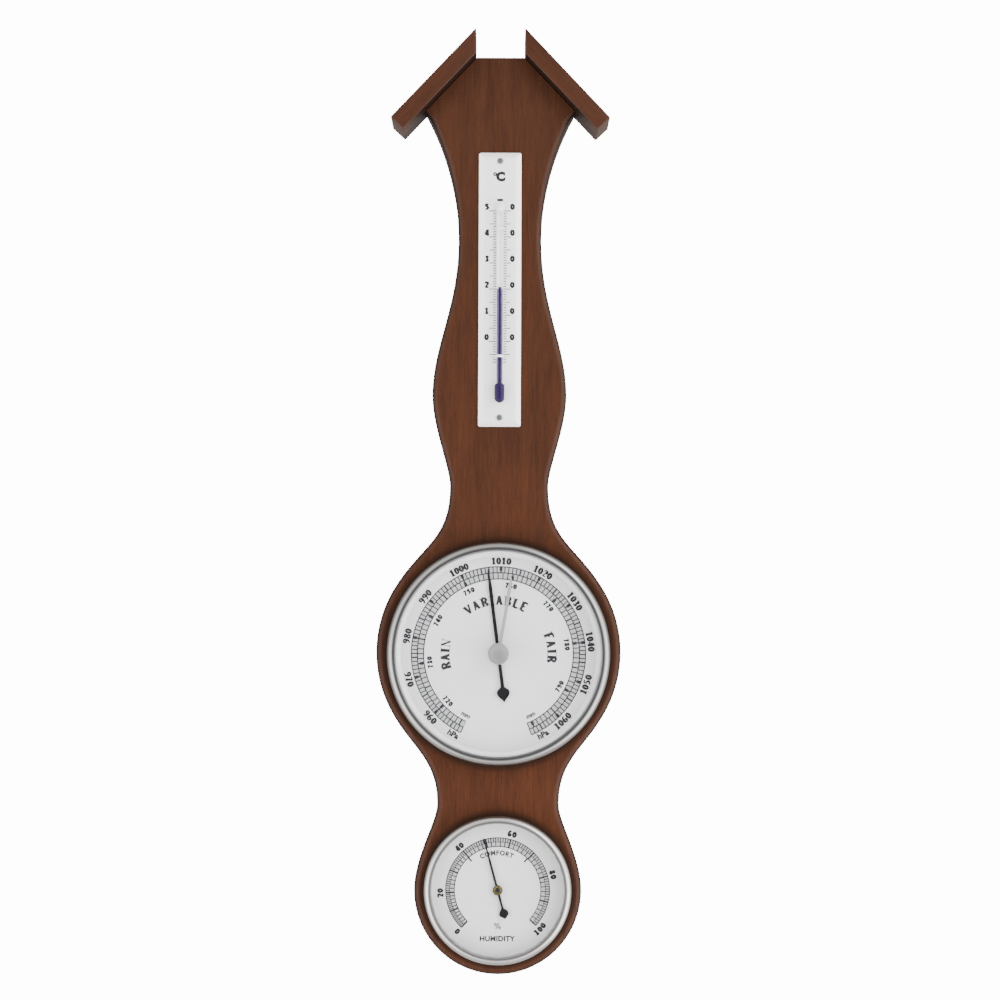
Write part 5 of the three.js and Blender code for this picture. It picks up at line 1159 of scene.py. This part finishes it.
# Painted light on the bevels: the long sides are lightened as a painted highlight and the ends darkened as painted
# shade, by which way they face.
for lean, bevel_painted_light in (("X", tint(255, 251, 248)), ("Z", tint(226, 222, 221))):
    leaning_off = node(plate_tree, "ShaderNodeMath", {0: plate_facing.outputs[lean]}, operation="ABSOLUTE")
    on_bevel = node(plate_tree, "ShaderNodeMapRange", {
        "Value": leaning_off.outputs[0], "From Min": 0.15, "From Max": 0.4})
    plate_lit_colour = node(plate_tree, "ShaderNodeMix", {
        "Factor": on_bevel.outputs[0], "A": plate_lit_colour, "B": bevel_painted_light}, data_type="RGBA").outputs["Result"]
plate_tree.links.new(plate_lit_colour, plate_shader.inputs["Base Color"])
plate_rough = node(plate_tree, "ShaderNodeMapRange", {
    "Value": plate_skin.outputs["Tone"], "To Min": 0.5, "To Max": 0.36})
plate_tree.links.new(plate_rough.outputs[0], plate_shader.inputs["Roughness"])
plate_bump = node(plate_tree, "ShaderNodeBump", {
    "Height": plate_skin.outputs["Height"], "Strength": 0.04, "Distance": 0.0001})
plate_tree.links.new(plate_bump.outputs[0], plate_shader.inputs["Normal"])


def plate_outline(inset, corner):
    half_width, half_length = plate_width / 2 - inset - corner, plate_length / 2 - inset - corner
    return [point for x, z, start in [(1, -1, -90), (1, 1, 0), (-1, 1, 90), (-1, -1, 180)]
            for point in arc(x * half_width, plate_height + z * half_length, corner, start, start + 90, 5)]


strip = Shell()
strip_loops = [
    strip.loop(plate_outline(0, plate_corner), plate_back),
    strip.loop(plate_outline(0, plate_corner), plate_back + plate_edge - 0.1),
    strip.loop(plate_outline(0.12, plate_corner), plate_back + plate_edge + 0.02),
    strip.loop(plate_outline(plate_bevel - 0.1, 0.45), plate_front - 0.03),
    strip.loop(plate_outline(plate_bevel + 0.08, 0.4), plate_front)]
for first, second in zip(strip_loops, strip_loops[1:]):
    strip.wall(first, second)
entry_height, entry_radius, notch_half, notch_low, notch_high = 208.85, 1.66, 1.4, 210.45, 211.6
slot_outline = [Vector(point) for point in ((-notch_half, notch_high), (-notch_half, notch_low), (-0.35, notch_low))]
slot_outline += arc(0, entry_height, entry_radius, 103, 437, 30)
slot_outline += [Vector(point) for point in ((0.35, notch_low), (notch_half, notch_low), (notch_half, notch_high))]
slot_back, slot_front = strip.loop(slot_outline, plate_back), strip.loop(slot_outline, plate_front)
strip.wall(slot_back, slot_front)
strip.cap(strip_loops[0], slot_back)
strip.cap(strip_loops[-1], slot_front)
piece("scale_strip", strip.points, strip.faces, plate_paint, "scale_plate", stands_for=["thermometer_plate"],
      crease=20)
zinc = bare_metal("zinc", tint(84, 88, 92), tint(114, 118, 122), 0.4, 0.55)
for name, side in [("lower", -1), ("upper", 1)]:
    under = plate_front + seat_gap
    nail_profile = [(0, 9.3), (0.7, 10.8), (0.7, under), (1.4, under), (1.4, under + 0.2)] + [
        (1.4 * math.cos(turn), under + 0.2 + 0.4 * math.sin(turn)) for turn in (0.35, 0.7, 1.05, 1.3)] + [
        (0, under + 0.6)]
    piece(f"round_nail_{name}", *turned(nail_profile, plate_height + side * 60.25, 24), zinc, "steel",
          stands_for=[f"plate_nail_{name}"])

celsius = Print(0.0, plate_front)


def celsius_height(value):
    return 169.0 + (value - 20) * 1.2258


for value in range(-8, 51):
    ten, five = value % 10 == 0, value % 5 == 0
    reach = 5.1 if ten else 4.9 if five else 3.1
    start, half_tick = 1.7, 0.19 if ten else 0.17
    height = celsius_height(value)
    for side in (-1, 1):
        edges = sorted((side * start, side * reach))
        celsius.lay([[(edges[0], height - half_tick), (edges[1], height - half_tick), (edges[1], height + half_tick),
                      (edges[0], height + half_tick)]], lambda x, z: (x, z, celsius.depth))
for value in range(0, 51, 10):
    celsius.level(set_figures(str(value)[0], small_figures), -6.1, celsius_height(value) + 0.45, 3.1)
    celsius.level(set_figures("0", small_figures), 5.8, celsius_height(value) + 0.45, 3.1)
celsius.level(set_plain("C", 0.08), 0.2, 220.1, 3.9)
celsius.lay([[(x - 2.4, z + 223.15) for x, z in shape] for shape in bowl(0, 0, 0.6, 0.6, 0.66, 0.66)],
            lambda x, z: (x, z, celsius.depth))
celsius.pull("thermometer_print")


# The thermometer: a clear capillary tube with a long bulb of violet spirit, bent back at its top
# through the plate into the board and held to the plate by two straps.
tube_depth, tube_radius, bulb_radius, bulb_height, bulb_length = 22.45, 1.65, 2.4, 120.4, 9.9
column_radius, column_top, meniscus_length = 0.62, 169.6, 0.8
tube_glass, tube_tree, tube_shader = material(
    "tube_glass", Base_Color=(0.93, 0.92, 0.98, 1.0), Roughness=0.05, IOR=1.47)
tube_edge = node(tube_tree, "ShaderNodeLayerWeight", {"Blend": 0.2})
tube_alpha = node(tube_tree, "ShaderNodeMapRange", {
    "Value": tube_edge.outputs["Facing"], "To Min": 0.0, "To Max": 0.12})
tube_where = node(tube_tree, "ShaderNodeTexCoord")
tube_level = node(tube_tree, "ShaderNodeSeparateXYZ", {0: tube_where.outputs["Object"]})
milky = node(tube_tree, "ShaderNodeMapRange", {
    "Value": tube_level.outputs["Z"], "From Min": (204.0 - hanger_height) * MM, "From Max": (206.0 - hanger_height) * MM,
    "To Max": 0.92})
tube_cover = node(tube_tree, "ShaderNodeMath", {0: tube_alpha.outputs[0], 1: milky.outputs[0]}, operation="MAXIMUM")
tube_tree.links.new(tube_cover.outputs[0], tube_shader.inputs["Alpha"])
spirit, spirit_tree, spirit_shader = material("violet_spirit", Roughness=0.3, Specular_IOR_Level=0.1)
spirit_where = node(spirit_tree, "ShaderNodeTexCoord")
spirit_skin = put(spirit_tree, metal_skin, {"Vector": spirit_where.outputs["Object"], "Scale": 300.0})
spirit_colour = node(spirit_tree, "ShaderNodeMix", {
    "Factor": spirit_skin.outputs["Tone"], "A": tint(22, 10, 46), "B": tint(38, 21, 71)}, data_type="RGBA")
# painted shade: the spirit darkens towards tint(14, 7, 26) where its surface turns away from the front
spirit_edge_shade = node(spirit_tree, "ShaderNodeLayerWeight", {"Blend": 0.4})
spirit_shaded = node(spirit_tree, "ShaderNodeMix", {
    "Factor": spirit_edge_shade.outputs["Facing"], "A": spirit_colour.outputs["Result"], "B": tint(14, 7, 26)}, data_type="RGBA")
spirit_tree.links.new(spirit_shaded.outputs["Result"], spirit_shader.inputs["Base Color"])


def upright_round(profile, steps):
    """A piece turned about the tube's upright axis: its profile is radius and height."""
    points, faces = [], []
    for radius, height in profile:
        for i in range(steps):
            turn = math.tau * i / steps
            points.append((radius * math.cos(turn), height, tube_depth + radius * math.sin(turn)))
    for row in range(len(profile) - 1):
        for i in range(steps):
            j = (i + 1) % steps
            faces.append((row * steps + i, row * steps + j, (row + 1) * steps + j, (row + 1) * steps + i))
    return points, faces


def bulb_profile(inset, neck):
    """The bulb's outline from its foot to its neck, a half round below and a shoulder above."""
    low, high, radius = bulb_height - bulb_length / 2 + inset, bulb_height + bulb_length / 2 - inset, bulb_radius - inset
    foot = [(radius * math.sin(t), low + radius * (1 - math.cos(t))) for t in [math.pi / 2 * i / 8 for i in range(9)]]
    shoulder = [(neck + (radius - neck) * (0.5 + 0.5 * math.cos(math.pi * i / 8)), high - 1.6 + 1.6 * i / 8)
                for i in range(9)]
    return foot + shoulder


tube_steps = 24
bulb_points, bulb_faces = upright_round(bulb_profile(0, tube_radius * 0.9), tube_steps)
leg_end, bend = 14.0, 3.0
path = [(bulb_height + bulb_length / 2 - 0.2, tube_depth, 0.0), (entry_height - bend, tube_depth, 0.0)]
path += [(entry_height - bend + bend * math.sin(t), tube_depth - bend * (1 - math.cos(t)), t)
         for t in [math.pi / 2 * i / 8 for i in range(1, 9)]]
path += [(entry_height, leg_end, math.pi / 2)]
tube_points, tube_faces = list(bulb_points), list(bulb_faces)
start = len(tube_points)
for height, depth, lean in path:
    for i in range(tube_steps):
        turn = math.tau * i / tube_steps
        out = tube_radius * math.sin(turn)
        tube_points.append((tube_radius * math.cos(turn), height + out * math.sin(lean), depth + out * math.cos(lean)))
for row in range(len(path) - 1):
    for i in range(tube_steps):
        j = (i + 1) % tube_steps
        a, b = start + row * tube_steps, start + (row + 1) * tube_steps
        tube_faces.append((a + i, a + j, b + j, b + i))
piece("capillary_tube", tube_points, tube_faces, tube_glass, "glass", stands_for=["thermometer_tube"])
spirit_inset = 0.05
piece("spirit_bulb", *upright_round(
    [(0.0, bulb_height - bulb_length / 2 + spirit_inset)] + bulb_profile(spirit_inset, 0.7)
    + [(0.0, bulb_height + bulb_length / 2 - spirit_inset)], tube_steps), spirit, "spirit", stands_for=["bulb_spirit"])
column_low, column_high = 124.85, column_top - meniscus_length - 0.02
column = piece("violet_column", *upright_round(
    [(0.0, column_low)] + [(column_radius, column_low + (column_high - column_low) * i / 40) for i in range(41)]
    + [(0.0, column_high)], tube_steps), spirit, "spirit", body=None, stands_for=["spirit_column"])
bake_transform(column)


def behind_tube(radius, heights, start, sweep, steps):
    """A strip of the tube's rear wall: its points row by row from below, turned from one side to the other."""
    return [(radius * math.cos(t), height, tube_depth + radius * math.sin(t))
            for height in heights for t in [math.radians(start + sweep * i / steps) for i in range(steps + 1)]]


# the colour that the round wall of the tube spreads beside the column
glow_tint, glow_tree, glow_shader = material("spirit_glow", Roughness=0.3, Alpha=0.75, Specular_IOR_Level=0.05)
glow_where = node(glow_tree, "ShaderNodeTexCoord")
glow_skin = put(glow_tree, metal_skin, {"Vector": glow_where.outputs["Object"], "Scale": 300.0})
glow_colour = node(glow_tree, "ShaderNodeMix", {
    "Factor": glow_skin.outputs["Tone"], "A": tint(184, 172, 230), "B": tint(198, 188, 238)}, data_type="RGBA")
glow_tree.links.new(glow_colour.outputs["Result"], glow_shader.inputs["Base Color"])
glow_rows, glow_steps = 40, 12
glow_heights = [column_low + (column_high - column_low) * i / glow_rows for i in range(glow_rows + 1)]
glow_faces = [(i, i + 1, i + glow_steps + 2, i + glow_steps + 1)
              for i in range(glow_rows * (glow_steps + 1)) if (i + 1) % (glow_steps + 1)]
glow = piece("spirit_glow", behind_tube(1.45, glow_heights, 178, 184, glow_steps), glow_faces, glow_tint, "spirit", body=None)
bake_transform(glow)
backing_steps = 12
backing_points = []
for height in (bulb_height + bulb_length / 2, entry_height - bend + 0.4):
    for radius in (1.6, 1.5):
        backing_points += behind_tube(radius, [height], 205, 130, backing_steps)
across = backing_steps + 1
backing_loop = list(range(across)) + [across + i for i in reversed(range(across))]
backing_faces = [(a, b, 2 * across + b, 2 * across + a) for a, b in zip(backing_loop, backing_loop[1:] + backing_loop[:1])]
backing_faces += [tuple(backing_loop), tuple(2 * across + i for i in backing_loop)]
piece("tube_backing", backing_points, backing_faces, white_enamel, "white_lacquer")
meniscus_low = column_top - meniscus_length
piece("column_top", *upright_round(
    [(0.0, meniscus_low), (column_radius, meniscus_low), (column_radius, column_top), (0.45, column_top - 0.12),
     (0.2, column_top - 0.22), (0.0, column_top - 0.25)], tube_steps), spirit, "spirit", body="meniscus",
    stands_for=["spirit_meniscus"])


# The straps: a narrow one high on the tube and a wider one below the scale, both white, each bent
# over the tube with a foot on the plate at either side.
def strap(name, height, width, material_of, slot, stands_for):
    inner, thickness, foot = tube_radius + 0.12, 0.25, 0.4
    low = plate_front + seat_gap
    outer = inner + thickness
    steps = 20
    over = [(outer * math.cos(math.pi * i / steps), tube_depth + outer * math.sin(math.pi * i / steps))
            for i in range(steps + 1)]
    beneath = [(inner * math.cos(math.pi * i / steps), tube_depth + inner * math.sin(math.pi * i / steps))
               for i in range(steps + 1)]
    section = ([(outer + foot, low), (outer + foot, low + thickness), (outer, low + thickness)] + over
               + [(-outer, low + thickness), (-outer - foot, low + thickness), (-outer - foot, low), (-inner, low)]
               + beneath[::-1] + [(inner, low)])
    count = len(section)
    points = [(x, height + side * width / 2, depth) for side in (-1, 1) for x, depth in section]
    faces = [(i, (i + 1) % count, count + (i + 1) % count, count + i) for i in range(count)]
    flat = [Vector((x, depth, 0)) for x, depth in section]
    for face in tessellate_polygon([flat]):
        faces += [tuple(face), tuple(count + i for i in face)]
    return piece(name, points, faces, material_of, slot, stands_for=stands_for)


strap("upper_strap", 197.0, 0.9, white_enamel, "white_lacquer", ["upper_tube_clip"])
strap("lower_strap", 137.2, 1.1, white_enamel, "white_lacquer", ["lower_tube_clip"])
